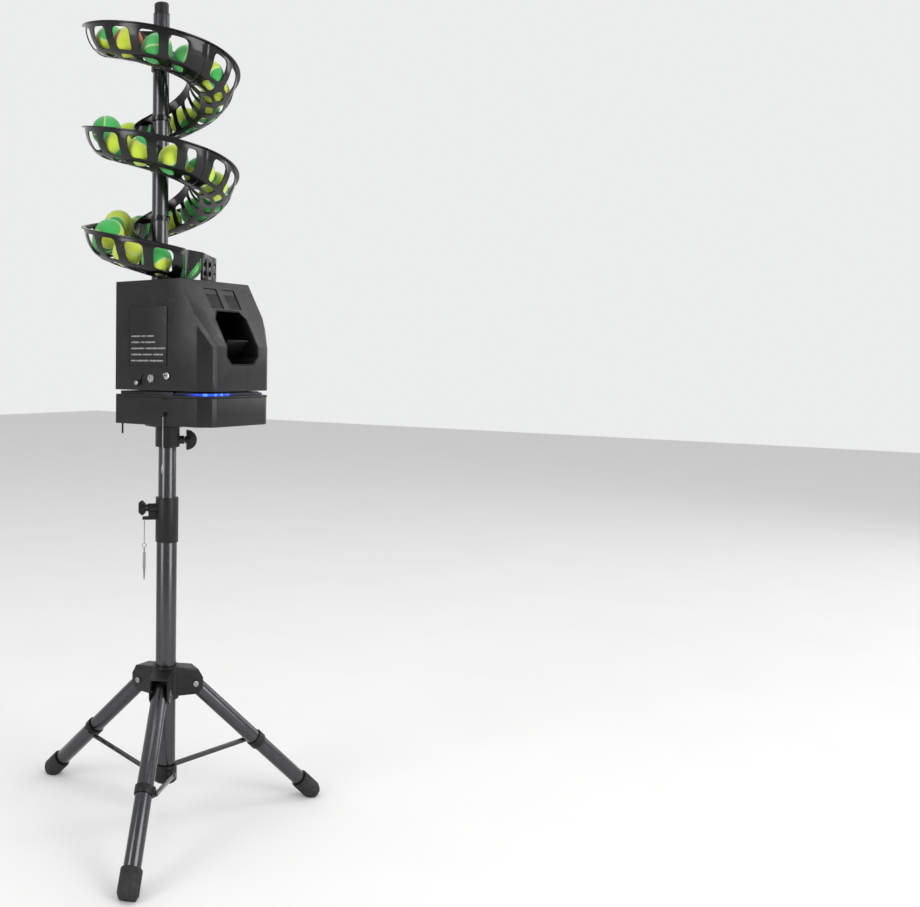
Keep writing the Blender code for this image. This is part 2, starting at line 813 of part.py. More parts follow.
def make_mech_frame():
    """Bracket that carries the throwing arm's shaft."""
    inner, outer = FRAME_SIDE
    low = HOUSING_Z[0] + 0.003 + GAP
    outline = [(-0.085, low), (0.010, low), (0.010, 1.006), (-0.035, 1.030), (-0.062, 1.030), (-0.085, 1.006)]
    body = across("mech_frame", outline, -outer, -inner)
    other = across("other", outline, inner, outer)
    bed = block("bed", (-outer + 0.001, outer - 0.001), (-0.080, 0.005), (low, low + 0.003))
    fuse(body, bed, other)
    y, z = ARM_PIVOT
    carve(body, rod("bore", (-0.070, y, z), (0.070, y, z), ARM_SHAFT_R + 0.0004))


def arm_point(distance, lean):
    """A point on the throwing arm, as (y, z)."""
    turn = math.radians(lean)
    return ARM_PIVOT[0] + distance * math.sin(turn), ARM_PIVOT[1] + distance * math.cos(turn)


def make_throw_arm():
    """Shaft, arm, striking pad and the lever that the winding wheel catches."""
    y, z = ARM_PIVOT
    body = rod("throw_arm", (-0.0600, y, z), (0.0560, y, z), ARM_SHAFT_R)
    bar = block("bar", (-0.0055, 0.0055), (-0.004, 0.004), (0.0, PAD_DISTANCE))
    bar.data.transform(Matrix.Translation((0, y, z)) @ Matrix.Rotation(math.radians(-ARM_LEAN), 4, "X"))
    centre = arm_point(PAD_DISTANCE, ARM_LEAN)
    lean = math.radians(ARM_LEAN)
    normal = Vector((0, -math.cos(lean), math.sin(lean)))
    middle = Vector((0, centre[0], centre[1]))
    pad = rod("pad", middle - normal * 0.0055, middle + normal * 0.0065, PAD_R, ROUND_STEPS)
    lever = block("lever", (-0.0600, -0.0560), (y, y + 0.0285), (z - 0.003, z + 0.003))
    fuse(body, bar, pad, lever)


def make_launch_spring():
    """Torsion spring round the arm's shaft."""
    turns = 5
    steps = 10
    sides = 5
    radius = 0.0092
    wire = 0.0011
    start_x, end_x = 0.013, 0.043
    points = []
    faces = []
    count = turns * steps
    for i in range(count + 1):
        angle = 2 * math.pi * i / steps
        x = start_x + (end_x - start_x) * i / count
        for j in range(sides):
            around = 2 * math.pi * j / sides
            reach = radius + wire * math.cos(around)
            y = ARM_PIVOT[0] + reach * math.cos(angle)
            z = ARM_PIVOT[1] + reach * math.sin(angle)
            points.append((x + wire * math.sin(around), y, z))
    for i in range(count):
        for j in range(sides):
            k = (j + 1) % sides
            low, high = i * sides, (i + 1) * sides
            faces.append((low + j, low + k, high + k, high + j))
    faces.append(tuple(range(sides)))
    faces.append(tuple(count * sides + j for j in range(sides)))
    make_body("launch_spring", points, faces)


def make_drive_motor():
    """Geared motor that winds the arm back."""
    y, z = WHEEL_CENTRE
    body = rod("drive_motor", (-0.1180, y, z), (-0.0740, y, z), 0.0180, ROUND_STEPS)
    gearbox = block("gearbox", (-0.0750, -0.0690), (y - 0.020, y + 0.020), (z - 0.019, z + 0.020))
    fuse(body, gearbox)


def make_winding_wheel():
    """Wheel whose peg catches the arm's lever once a turn."""
    y, z = WHEEL_CENTRE
    body = rod("winding_wheel", (-0.0685, y, z), (-0.0620, y, z), WHEEL_R, ROUND_STEPS)
    peg = rod("peg", (-0.0640, y, z + 0.0150), (-0.0555, y, z + 0.0150), 0.0030, 12)
    fuse(body, peg)


def make_launch_ramp():
    """Curved track for the ball with a slot for the arm."""
    top = [
        (-0.040, 1.050),
        (-0.090, 1.050),
        (-0.130, 1.056),
        (-0.160, 1.068),
        (-0.182, 1.083),
        (-0.198, 1.100),
    ]
    under = [(y, z - 0.003) for y, z in reversed(top)]
    body = across("launch_ramp", top + under, -0.036, 0.036)
    carve(body, block("slot", (-0.009, 0.009), (-0.150, 0.0), (1.0, 1.2)))
    post_low = HOUSING_Z[0] + 0.003 + GAP
    for side in (-0.0345, 0.0305):
        post = block("post", (side, side + 0.004), (-0.125, -0.100), (post_low, 1.0515))
        fuse(body, post)


def make_feed_wheel():
    """Four-finger wheel that lets one ball drop at a time."""
    y, z = FEED_CENTRE
    body = rod("feed_wheel", (-0.030, y, z), (0.038, y, z), 0.0070)
    for i in range(2):
        blade = block("blade", (-0.028, 0.022), (-FEED_R, FEED_R), (-0.0020, 0.0020))
        turn = Matrix.Rotation(math.radians(45 + 90 * i), 4, "X")
        blade.data.transform(Matrix.Translation((0, y, z)) @ turn)
        fuse(body, blade)


def make_feed_motor():
    """Small geared motor hung from the side wall."""
    y, z = FEED_CENTRE
    body = rod("feed_motor", (0.0440, y, z), (0.0900, y, z), 0.0140, ROUND_STEPS)
    foot = block("foot", (0.0880, 0.1187), (y - 0.016, y + 0.016), (z - 0.016, z + 0.016))
    nose = rod("nose", (0.0385, y, z), (0.0450, y, z), 0.0080)
    fuse(body, foot, nose)


def make_control_board():
    """Circuit board on four posts beside the launcher."""
    body = block("control_board", (0.1080, 0.1096), (-0.120, -0.030), (1.010, 1.085))
    for y in (-0.113, -0.037):
        for z in (1.017, 1.078):
            fuse(body, rod("post", (0.1090, y, z), (0.1187, y, z), 0.0030, 12))
    chip = block("chip", (0.1050, 0.1085), (-0.092, -0.062), (1.035, 1.060))
    fuse(body, chip)


# ---------------------------------------------------------------- ball store


def make_pole_socket():
    """Cup inside the housing that holds the pole."""
    body = turned(
        "pole_socket",
        [
            (0, 1.115),
            (0.0225, 1.115),
            (0.0225, 1.2257),
            (POLE_R + GAP, 1.2257),
            (POLE_R + GAP, 1.1200),
            (0, 1.1200),
        ],
    )
    body.data.transform(Matrix.Translation((0, POLE_Y, 0)))


def make_ball_pole():
    body = ring("ball_pole", POLE_R - 0.0015, POLE_R, POLE_Z[0], POLE_Z[1])
    body.data.transform(Matrix.Translation((0, POLE_Y, 0)))


def make_pole_cap():
    """Plug in the top of the pole."""
    low = POLE_Z[1] + GAP
    tip = POLE_TIP_Z
    body = turned(
        "pole_cap",
        [
            (0, POLE_Z[1] - 0.020),
            (POLE_TIP_R, POLE_Z[1] - 0.020),
            (POLE_TIP_R, low),
            (POLE_R, low),
            (POLE_R, low + 0.0025),
            (POLE_TIP_R, low + 0.0025),
            (POLE_TIP_R, tip - 0.002),
            (POLE_TIP_R - 0.002, tip),
            (0, tip),
        ],
    )
    body.data.transform(Matrix.Translation((0, POLE_Y, 0)))


def rim_height(angle):
    """Height of the spiral's rim at an angle counted down from the top end."""
    return SPIRAL_TOP_Z - SPIRAL_PITCH * (angle - SPIRAL_START) / 360


def trough_stations(start, end):
    """Angles across a segment, with three steps to each window and rib."""
    step = WINDOW_PERIOD / 3
    count = round((end - start) / step)
    return [start + SEAM_GAP + (end - start - 2 * SEAM_GAP) * i / count for i in range(count + 1)]


def cell_open(column, row, columns):
    """True where the wall has a window or a slot."""
    if column < 1 or column >= columns - 1:
        return False
    if column % 3 == 0:
        return False
    return row in WINDOW_ROWS or row in SLOT_ROWS


def make_trough(number, start, end):
    """One segment of the spiral with its windows and the clip that holds it to the pole."""
    stations = trough_stations(start, end)
    outer, inner = trough_sections()
    rows = len(outer)
    points = []
    for angle in stations:
        turn = math.radians(angle)
        height = rim_height(angle)
        for skin in (outer, inner):
            for radius, drop in skin:
                points.append((radius * math.cos(turn), radius * math.sin(turn), height + drop))

    def index(column, skin, row):
        return column * 2 * rows + skin * rows + row

    columns = len(stations) - 1
    solid = {
        (c, r)
        for c in range(columns)
        for r in range(rows - 1)
        if not cell_open(c, r, columns)
    }
    faces = []
    for c, r in solid:
        for skin in (0, 1):
            faces.append(
                (index(c, skin, r), index(c + 1, skin, r), index(c + 1, skin, r + 1), index(c, skin, r + 1))
            )
        edges = (
            ((c, r - 1), (c, r), (c + 1, r)),
            ((c, r + 1), (c, r + 1), (c + 1, r + 1)),
            ((c - 1, r), (c, r), (c, r + 1)),
            ((c + 1, r), (c + 1, r), (c + 1, r + 1)),
        )
        for neighbour, one, two in edges:
            if neighbour in solid:
                continue
            faces.append(
                (
                    index(one[0], 0, one[1]),
                    index(two[0], 0, two[1]),
                    index(two[0], 1, two[1]),
                    index(one[0], 1, one[1]),
                )
            )
    body = make_body("trough_" + str(number), points, faces)
    fuse(body, pole_clip(start))
    body.data.transform(Matrix.Translation((0, POLE_Y, 0)))
    if rim_height(end) - SPIRAL_DEPTH < HOUSING_Z[1]:
        carve(body, block("housing_top", (-0.2, 0.2), (-0.2, 0.2), (HOUSING_Z[0], HOUSING_Z[1] + GAP)))


def trough_sections():
    """Outer and inner skins of the trough, as (radius, drop) from lip to inner rim."""
    outer = [(SPIRAL_MID_R + SPIRAL_HALF_WIDTH + SPIRAL_LIP, -SPIRAL_WALL)]
    inner = [(SPIRAL_MID_R + SPIRAL_HALF_WIDTH + SPIRAL_LIP, 0.0)]
    for degrees in SECTION_ANGLES:
        turn = math.radians(degrees)
        shell_drop = SPIRAL_DEPTH * math.sin(turn)
        lining_drop = (SPIRAL_DEPTH - SPIRAL_WALL) * math.sin(turn)
        if degrees == SECTION_ANGLES[0]:
            shell_drop = SPIRAL_WALL
        outer.append((SPIRAL_MID_R + SPIRAL_HALF_WIDTH * math.cos(turn), -shell_drop))
        inner.append((SPIRAL_MID_R + (SPIRAL_HALF_WIDTH - SPIRAL_WALL) * math.cos(turn), -lining_drop))
    return outer, inner


def pole_clip(start):
    """Ring round the pole and the arm that reaches a segment's inner wall."""
    height = rim_height(start + 4)
    low, high = height - 0.020, height - 0.009
    body = ring("clip", POLE_R + GAP, POLE_R + 0.0040, low, high, ROUND_STEPS)
    reach = SPIRAL_MID_R - SPIRAL_HALF_WIDTH + SPIRAL_WALL * 0.5
    arm = block("arm", (POLE_R + 0.0020, reach), (-0.0025, 0.0025), (low, high))
    aim(arm, start + 4)
    return fuse(body, arm)


def guard_path():
    """Plan points of the guard, each with the heights of its lower and upper edges."""
    floor = HOUSING_Z[1] + GAP
    start, end = GUARD_CUT_ANGLES
    stations = []
    for i in range(GUARD_CUT_STEPS + 1):
        part = i / GUARD_CUT_STEPS
        angle = start + (end - start) * part
        top = GUARD_TOP_Z[0] + (GUARD_TOP_Z[1] - GUARD_TOP_Z[0]) * part
        under = floor + (top - GUARD_RIM_DEPTH - floor) * part
        stations.append((angle, GUARD_REACH[0] + (GUARD_REACH[1] - GUARD_REACH[0]) * part, under, top))
    for i in range(GUARD_WALL_STEPS + 1):
        part = i / GUARD_WALL_STEPS
        angle = end + 0.6 + (GUARD_END_ANGLE - end - 0.6) * part
        top = GUARD_TOP_Z[1] + (GUARD_TOP_Z[2] - GUARD_TOP_Z[1]) * part
        stations.append((angle, GUARD_REACH[1] + (GUARD_REACH[2] - GUARD_REACH[1]) * part, floor, top))
    path = []
    for angle, reach, low, high in stations:
        turn = math.radians(angle)
        path.append((Vector((reach * math.cos(turn), POLE_Y + reach * math.sin(turn))), low, high))
    count = len(GUARD_RETURN)
    for i, place in enumerate(GUARD_RETURN):
        high = GUARD_TOP_Z[2] + (GUARD_TOP_Z[3] - GUARD_TOP_Z[2]) * (i + 1) / count
        path.append((Vector(place), floor, high))
    return path


def make_end_guard():
    """Carries on the spiral's rim, cut away below it, then stands and turns the balls into the inlet."""
    path = guard_path()
    places = [place for place, low, high in path]
    last = len(path) - 1
    points = []
    for i, (place, low, high) in enumerate(path):
        along = (places[min(i + 1, last)] - places[max(i - 1, 0)]).normalized()
        inside = place + Vector((-along.y, along.x)) * SPIRAL_WALL
        for corner, height in ((place, low), (place, high), (inside, high), (inside, low)):
            points.append((corner.x, corner.y, height))
    faces = [(0, 1, 2, 3), tuple(range(4 * last, 4 * last + 4))]
    for i in range(last):
        for j in range(4):
            k = (j + 1) % 4
            faces.append((4 * i + j, 4 * i + k, 4 * i + 4 + k, 4 * i + 4 + j))
    body = make_body("end_guard", points, faces)
    first_hole = GUARD_CUT_STEPS + 2
    for i in range(first_hole, last, 2):
        along = (places[i + 1] - places[i - 1]).normalized()
        side = Vector((-along.y, along.x))
        for height in GUARD_HOLE_Z:
            start = places[i] - side * GUARD_HOLE_R
            end = places[i] + side * (GUARD_HOLE_R + SPIRAL_WALL)
            carve(body, rod("hole", (*start, height), (*end, height), GUARD_HOLE_R, 12))


def make_stand():
    make_outer_tube()
    make_brace_collar()
    make_height_collar()
    make_height_knob()
    make_chain()
    make_lock_pin()
    make_leg_hub()
    make_hub_knob()
    for place, angle in LEG_ANGLES.items():
        make_hub_pin(place, angle)
        make_leg(place, angle)
        make_foot(place, angle)
        make_clip(place, angle)
        make_brace(place, angle)
    make_inner_tube()


def make_base():
    make_neck_socket()
    make_neck_knob()
    make_base_tub()
    make_base_deck()
    make_battery_pack()
    make_swing_motor()
    make_swivel_ring()
    make_light_strip()
    make_aerial_stub()
    make_cord_gland()
    make_pull_cord()


def make_housing():
    make_housing_shell()
    make_front_bezel()
    make_floor_plate()
    make_label_plate()
    make_charge_socket()
    make_dust_cap()
    make_power_switch()
    make_mech_frame()
    make_throw_arm()
    make_launch_spring()
    make_drive_motor()
    make_winding_wheel()
    make_launch_ramp()
    make_feed_wheel()
    make_feed_motor()
    make_control_board()
    make_pole_socket()


def make_store():
    make_ball_pole()
    make_pole_cap()
    for i in range(len(SPIRAL_SEAMS) - 1):
        make_trough(i + 1, SPIRAL_SEAMS[i], SPIRAL_SEAMS[i + 1])
    make_end_guard()


def centre_on_floor():
    """Moves every part so that the whole machine is centred over the origin."""
    shift = Matrix.Translation((0, MAST_Y, 0))
    for body in bpy.context.scene.objects:
        body.data.transform(shift)
        body.data.update()


clear_scene()
make_stand()
make_base()
make_housing()
make_store()
centre_on_floor()
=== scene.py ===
"""Looks of the tennis ball machine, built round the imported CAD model.

Metres, +Z up, balls leave towards -Y.
"""

import json
import math

import bmesh
import bpy
import numpy as np
from mathutils import Matrix, Vector

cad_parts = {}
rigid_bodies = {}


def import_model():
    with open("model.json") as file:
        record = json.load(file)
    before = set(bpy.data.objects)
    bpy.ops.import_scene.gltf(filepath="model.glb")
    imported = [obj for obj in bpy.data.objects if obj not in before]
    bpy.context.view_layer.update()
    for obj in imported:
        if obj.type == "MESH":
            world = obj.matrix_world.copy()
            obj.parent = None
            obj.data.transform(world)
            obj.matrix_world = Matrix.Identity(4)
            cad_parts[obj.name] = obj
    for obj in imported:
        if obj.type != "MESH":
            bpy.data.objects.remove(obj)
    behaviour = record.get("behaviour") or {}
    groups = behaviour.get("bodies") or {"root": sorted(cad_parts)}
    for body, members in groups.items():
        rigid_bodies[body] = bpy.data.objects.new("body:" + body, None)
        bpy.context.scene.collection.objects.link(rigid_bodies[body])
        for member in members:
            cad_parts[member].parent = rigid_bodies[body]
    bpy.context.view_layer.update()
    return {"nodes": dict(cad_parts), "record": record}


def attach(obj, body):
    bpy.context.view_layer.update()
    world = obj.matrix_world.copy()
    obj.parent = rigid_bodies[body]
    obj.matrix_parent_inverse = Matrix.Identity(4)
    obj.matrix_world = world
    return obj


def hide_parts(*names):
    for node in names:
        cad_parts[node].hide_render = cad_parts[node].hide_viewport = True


# Whole machine
MAST_Y = -0.0933
ROUND_STEPS = 96
SMALL_STEPS = 48
GAP = 0.0003
WELD = 0.000002

# Mast tubes
OUTER_TUBE_R = 0.0235
OUTER_TUBE_BORE_R = 0.0215
OUTER_TUBE_Z = (0.098, 0.700)
INNER_TUBE_R = 0.0205
INNER_TUBE_BORE_R = 0.0187
INNER_TUBE_Z = (0.420, 0.893)

# Height collar, its clamp screw and the tethered locking pin
COLLAR_R = 0.0263
COLLAR_Z = (0.640, 0.742)
COLLAR_STEP_Z = 0.7025
COLLAR_ANGLE = 140.0
CLAMP_Z = 0.718
CLAMP_BOSS_R = 0.0100
CLAMP_BOSS_REACH = (0.0235, 0.044)
SCREW_R = 0.0035
SCREW_BORE_R = 0.0038
KNOB_HUB_R = 0.0080
KNOB_START = 0.0455
KNOB_END = 0.066
WING_HALF_SPAN = 0.0165
CHAIN_REACH = 0.052
CHAIN_Z = (0.637, 0.6892)
TETHER_RING_R = 0.0055
PIN_Z = (0.553, 0.6255)
PIN_R = 0.0032

# Tripod
LEG_ANGLES = {"rear": 90.0, "left": -150.0, "right": -30.0}
LEG_PIVOT_REACH = 0.066
LEG_PIVOT_Z = 0.310
LEG_SPREAD = 46.5
LEG_LENGTH = 0.412
LEG_TOP_OVERHANG = 0.012
LEG_R = 0.0180
LEG_BORE_R = 0.0162
FOOT_R = 0.0225
FOOT_GRIP = 0.028
PIVOT_PIN_R = 0.0040
PIVOT_BORE_R = 0.0043
PIVOT_HEAD_R = 0.0068
HUB_Z = (0.280, 0.355)
HUB_SLEEVE_R = 0.0305
HUB_BORE_R = 0.0238
CHEEK_SIDE = (0.0186, 0.0222)
HUB_KNOB_ANGLE = 30.0
HUB_KNOB_Z = 0.322
BRACE_SIDE = (0.0240, 0.0268)
BRACE_PIVOT_REACH = 0.0235
BRACE_PIVOT_Z = 0.108
BRACE_LENGTH = 0.209
BRACE_RISE = 11.6
BRACE_HALF_WIDTH = 0.0060
RIVET_R = 0.0048
RIVET_HEIGHT = 0.0020
CLIP_REACH = 0.226
CLIP_R = 0.0212

# Neck under the head
NECK_R = 0.0280
NECK_Z = (0.858, 0.9145)
NECK_FLANGE_R = 0.052
NECK_SCREW_ANGLE = -48.0
NECK_SCREW_Z = 0.874

# Thin cord that hangs beside the neck
CORD_X = -0.1262
CORD_Y = -0.095
CORD_R = 0.0011
CORD_Z = (0.812, 0.9352)

# Base box and launcher housing share one plan
PLAN_HALF_WIDTH = 0.122
PLAN_FRONT = -0.212
PLAN_REAR = 0.055
PLAN_CORNER = 0.029
PLAN_REAR_CORNER = 0.006
WALL = 0.003
BASE_Z = (0.915, 0.9757)
DECK_Z = (0.976, 0.980)
DECK_STEP = 0.0075
DECK_STEP_INSET = 0.0185
DECK_EDGE_INSET = 0.0110
DECK_WELL_R = 0.0475
STRIP_END_Y = -0.110
HOUSING_Z = (0.990, 1.229)
SLOPE_LOW_Z = 1.085
SLOPE_TOP_Y = -0.135
MOUTH_HALF_WIDTH = 0.058
MOUTH_Z = (1.045, 1.165)
MOUTH_CORNER = 0.018
BEZEL_WALL = 0.0028
INLET_CENTRE = (-0.012, -0.088)
INLET_R = 0.039

# Ball pole and spiral
POLE_Y = 0.028
POLE_R = 0.0188
POLE_Z = (1.1205, 1.842)
POLE_TIP_R = 0.0165
POLE_TIP_Z = 1.869
SPIRAL_MID_R = 0.117
SPIRAL_HALF_WIDTH = 0.057
SPIRAL_DEPTH = 0.072
SPIRAL_LIP = 0.007
SPIRAL_WALL = 0.0026
SPIRAL_PITCH = 0.2275
SPIRAL_TOP_Z = 1.817
SPIRAL_START = 131.0
SPIRAL_SEAMS = (131.0, 256.0, 436.0, 616.0, 796.0, 958.75)
SEAM_GAP = 0.15
WINDOW_PERIOD = 22.5

# Guard round the spiral's end: a rim cut away below, then a pierced wall
GUARD_CUT_ANGLES = (239.4, 255.0)
GUARD_CUT_STEPS = 4
GUARD_WALL_STEPS = 4
GUARD_END_ANGLE = 268.0
GUARD_REACH = (0.1735, 0.1640, 0.1570)
GUARD_TOP_Z = (1.2930, 1.2900, 1.2830, 1.2770)
GUARD_RIM_DEPTH = 0.0120
GUARD_RETURN = (
    (0.010, -0.126),
    (0.022, -0.120),
    (0.032, -0.110),
    (0.038, -0.096),
    (0.040, -0.080),
    (0.040, -0.062),
)
GUARD_HOLE_Z = (1.2440, 1.2640)
GUARD_HOLE_R = 0.0058

# Launcher
ARM_PIVOT = (-0.050, 1.012)
ARM_SHAFT_R = 0.0050
ARM_LEAN = 15.0
PAD_DISTANCE = 0.095
PAD_R = 0.020

# Cover, label and the fittings on the label's side as (y, z)
STRIP_OFFSET = 0.0068
RECESS_Z = (1.168, 1.212)
RECESS_X = (0.0095, 0.0540)
RECESS_DEPTH = 0.0024
RECESS_EDGE = 0.0012
GROOVE_DEPTH = 0.0006
SHELL_SEAM_X = (0.0155, 0.0161)
LABEL_Y = (-0.101, 0.006)
LABEL_Z = (1.044, 1.171)
LABEL_THICK = 0.0010
SOCKET_PLACE = (-0.058, 1.016)
CAP_PLACE = (-0.020, 1.006)
STRAP_LEAN = 32.0
SWITCH_PLACE = (-0.104, 1.022)
BEAD_PROFILE = (
    (0, 0),
    (0.0022, 0.0012),
    (0.0032, 0.0045),
    (0.0034, 0.008),
    (0.0028, 0.013),
    (0.0016, 0.020),
    (0, 0.020),
)

# Balls: angles in degrees, seam sizes as angles in radians on the ball
BALL_R = 0.0335
BALL_LEVELS = 5
BALL_STEP = 31.6
BALL_REACH = 0.1242
PILED_ANGLES = ((455.0, 510.0), (800.0, 880.0))
PILED_STEP = 30.5
PILED_LIFT = 0.026
LAST_BALL_TURN = 11.0
BALL_DROP = 0.0345
BALL_SEED = 11
SEAM_HALF = 0.026
SEAM_FADE = 0.024
SEAM_REACH = 0.09
SEAM_DENT = 0.018
SEAM_COLOUR = (0.58, 0.64, 0.34)

# Lit strip
GLOW_X = -0.080
GLOW_INSET = 0.014
GLOW_FADE = (0.014, 0.070)
GLOW_RIPPLE = 300.0
GLOW_STRENGTH = 1.6

# Studio: world light by its direction, then (name, place, target, size, watts) of each lamp
BACKDROP = (0.82, 0.56, 0.10)
WORLD_COLOUR = (0.97, 0.975, 0.98, 1.0)
WORLD_FADE = (-0.8, 0.5)
WORLD_DIM = 0.48
WORLD_BRIGHT = 0.86
LAMPS = (
    ("front", (-0.20, -5.4, 2.7), (0, 0, 1.1), (2.7, 4.8), 200.0),
    ("left", (-5.36, 0.96, 2.7), (0, 0, 1.1), (2.1, 4.8), 155.0),
    ("right", (5.2, -3.0, 3.2), (0, 0, 1.1), (1.5, 4.2), 62.0),
    ("top", (-0.2, -0.6, 6.4), (0, 0, 1.0), (2.8, 2.8), 56.0),
)
FLOOR_HALF = 14.0
FLOOR_Z = -0.0004

# Camera
CAMERA_PLACE = (-1.7688, -1.6145, 1.05)
CAMERA_TURN = (-49.173, -1.66, 0.454)
FOCAL_LENGTH = 39.9
SHIFT_X = 0.32
SHIFT_Y = -0.0665


def make_body(name, points, faces):
    """One closed mesh object with its faces turned outward."""
    mesh = bpy.data.meshes.new(name)
    mesh.from_pydata([tuple(p) for p in points], [], [tuple(f) for f in faces])
    shape = bmesh.new()
    shape.from_mesh(mesh)
    bmesh.ops.recalc_face_normals(shape, faces=shape.faces)
    shape.to_mesh(mesh)
    shape.free()
    body = bpy.data.objects.new(name, mesh)
    bpy.context.scene.collection.objects.link(body)
    return body


def turned(name, profile, steps=ROUND_STEPS):
    """Turns a closed profile of (radius, height) points about the Z axis."""
    points = []
    rings = []
    for radius, height in profile:
        if radius < 1e-9:
            rings.append([len(points)] * steps)
            points.append((0.0, 0.0, height))
            continue
        rings.append(list(range(len(points), len(points) + steps)))
        for i in range(steps):
            angle = 2 * math.pi * i / steps
            points.append((radius * math.cos(angle), radius * math.sin(angle), height))
    faces = []
    for this, following in zip(rings, rings[1:] + rings[:1]):
        for i in range(steps):
            j = (i + 1) % steps
            corners = []
            for corner in (this[i], this[j], following[j], following[i]):
                if corner not in corners:
                    corners.append(corner)
            if len(corners) > 2:
                faces.append(corners)
    return make_body(name, points, faces)


def disc(name, radius, low, high, steps=ROUND_STEPS):
    """A solid cylinder on the Z axis."""
    return turned(name, [(0, low), (radius, low), (radius, high), (0, high)], steps)


def ring(name, inner, outer, low, high, steps=ROUND_STEPS):
    """A tube on the Z axis."""
    return turned(name, [(inner, low), (outer, low), (outer, high), (inner, high)], steps)


def drawn_out(name, near, far):
    """A solid between two copies of one outline."""
    count = len(near)
    faces = [tuple(range(count)), tuple(range(count, 2 * count))]
    for i in range(count):
        j = (i + 1) % count
        faces.append((i, j, count + j, count + i))
    return make_body(name, near + far, faces)


def prism(name, outline, low, high):
    """Raises an outline of (x, y) points from one height to another."""
    return drawn_out(name, [(x, y, low) for x, y in outline], [(x, y, high) for x, y in outline])


def across(name, outline, low, high):
    """Draws an outline of (y, z) points out along X."""
    return drawn_out(name, [(low, y, z) for y, z in outline], [(high, y, z) for y, z in outline])


def block(name, x, y, z):
    """A box from its three spans."""
    return prism(name, [(x[0], y[0]), (x[1], y[0]), (x[1], y[1]), (x[0], y[1])], z[0], z[1])


def rod(name, start, end, radius, steps=SMALL_STEPS):
    """A solid cylinder between two points."""
    start = Vector(start)
    line = Vector(end) - start
    body = disc(name, radius, 0.0, line.length, steps)
    turn = line.to_track_quat("Z", "Y").to_matrix().to_4x4()
    body.data.transform(Matrix.Translation(start) @ turn)
    return body


def weld(mesh):
    """Joins the near-coincident points that a boolean leaves."""
    shape = bmesh.new()
    shape.from_mesh(mesh)
    bmesh.ops.remove_doubles(shape, verts=shape.verts, dist=WELD)
    bmesh.ops.dissolve_degenerate(shape, edges=shape.edges, dist=WELD)
    shape.to_mesh(mesh)
    shape.free()


def combine(body, tools, operation):
    """Applies one exact boolean per tool and removes the tools."""
    for tool in tools:
        step = body.modifiers.new("step", "BOOLEAN")
        step.operation = operation
        step.solver = "EXACT"
        step.object = tool
        bpy.context.view_layer.update()
        done = body.evaluated_get(bpy.context.evaluated_depsgraph_get())
        mesh = bpy.data.meshes.new_from_object(done)
        body.modifiers.remove(step)
        weld(mesh)
        mesh.name = body.name
        body.data = mesh
        bpy.data.objects.remove(tool, do_unlink=True)
    return body


def fuse(body, *tools):
    return combine(body, tools, "UNION")


def carve(body, *tools):
    return combine(body, tools, "DIFFERENCE")


def keep_inside(body, tool):
    return combine(body, [tool], "INTERSECT")


def aim(body, angle):
    """Turns a body drawn towards +X so that it points at an angle in plan."""
    body.data.transform(Matrix.Rotation(math.radians(angle), 4, "Z"))
    return body


def radial_rod(name, start, end, z, radius):
    """A rod that leaves the mast along +X at one height."""
    return rod(name, (start, 0.0, z), (end, 0.0, z), radius)


# ---------------------------------------------------------------- mast


def make_outer_tube():
    ring("outer_tube", OUTER_TUBE_BORE_R, OUTER_TUBE_R, OUTER_TUBE_Z[0], OUTER_TUBE_Z[1])


def make_inner_tube():
    ring("inner_tube", INNER_TUBE_BORE_R, INNER_TUBE_R, INNER_TUBE_Z[0], INNER_TUBE_Z[1])


def make_brace_collar():
    """Cup at the foot of the mast with a lug beside each brace."""
    floor_z = OUTER_TUBE_Z[0] - 0.0005
    bore_r = OUTER_TUBE_R + GAP
    body = turned(
        "brace_collar",
        [(0, 0.085), (0.024, 0.085), (0.0275, 0.089), (0.0275, 0.125), (0, 0.125)],
    )
    for angle in LEG_ANGLES.values():
        lug = across("lug", [(0.012, 0.097), (0.0236, 0.097), (0.0236, 0.119), (0.012, 0.119)], 0.006, 0.032)
        fuse(body, aim(lug, angle))
    carve(body, disc("bore", bore_r, floor_z, 0.140))


def make_height_collar():
    """Stepped sleeve that grips both tubes, with the screw boss and the chain's eye."""
    low, high = COLLAR_Z
    body = disc("height_collar", COLLAR_R, low, high)
    boss = radial_rod("boss", 0.015, CLAMP_BOSS_REACH[1], CLAMP_Z, CLAMP_BOSS_R)
    hook = [
        (0.022, 0.6905),
        (0.0565, 0.6905),
        (0.0565, 0.6985),
        (0.043, 0.6985),
        (0.043, 0.715),
        (0.022, 0.715),
    ]
    eye = across("eye", hook, -0.002, 0.002)
    fuse(body, aim(boss, COLLAR_ANGLE), aim(eye, COLLAR_ANGLE - 90))
    carve(
        body,
        disc("wide", OUTER_TUBE_R + GAP, low - 0.01, COLLAR_STEP_Z),
        disc("narrow", INNER_TUBE_R + GAP, low - 0.01, high + 0.01),
        aim(radial_rod("bore", 0.010, 0.050, CLAMP_Z, SCREW_BORE_R), COLLAR_ANGLE),
    )


def wing_knob(name, z, angle, start, end, tip_reach):
    """Screw, knob hub and a flat wing in one piece."""
    body = radial_rod(name, start - 0.001, end - 0.006, z, KNOB_HUB_R)
    screw = radial_rod("screw", tip_reach, start + 0.002, z, SCREW_R)
    wing = wing_plate("wing", z, start + 0.004, end)
    fuse(body, screw, wing)
    return aim(body, angle)


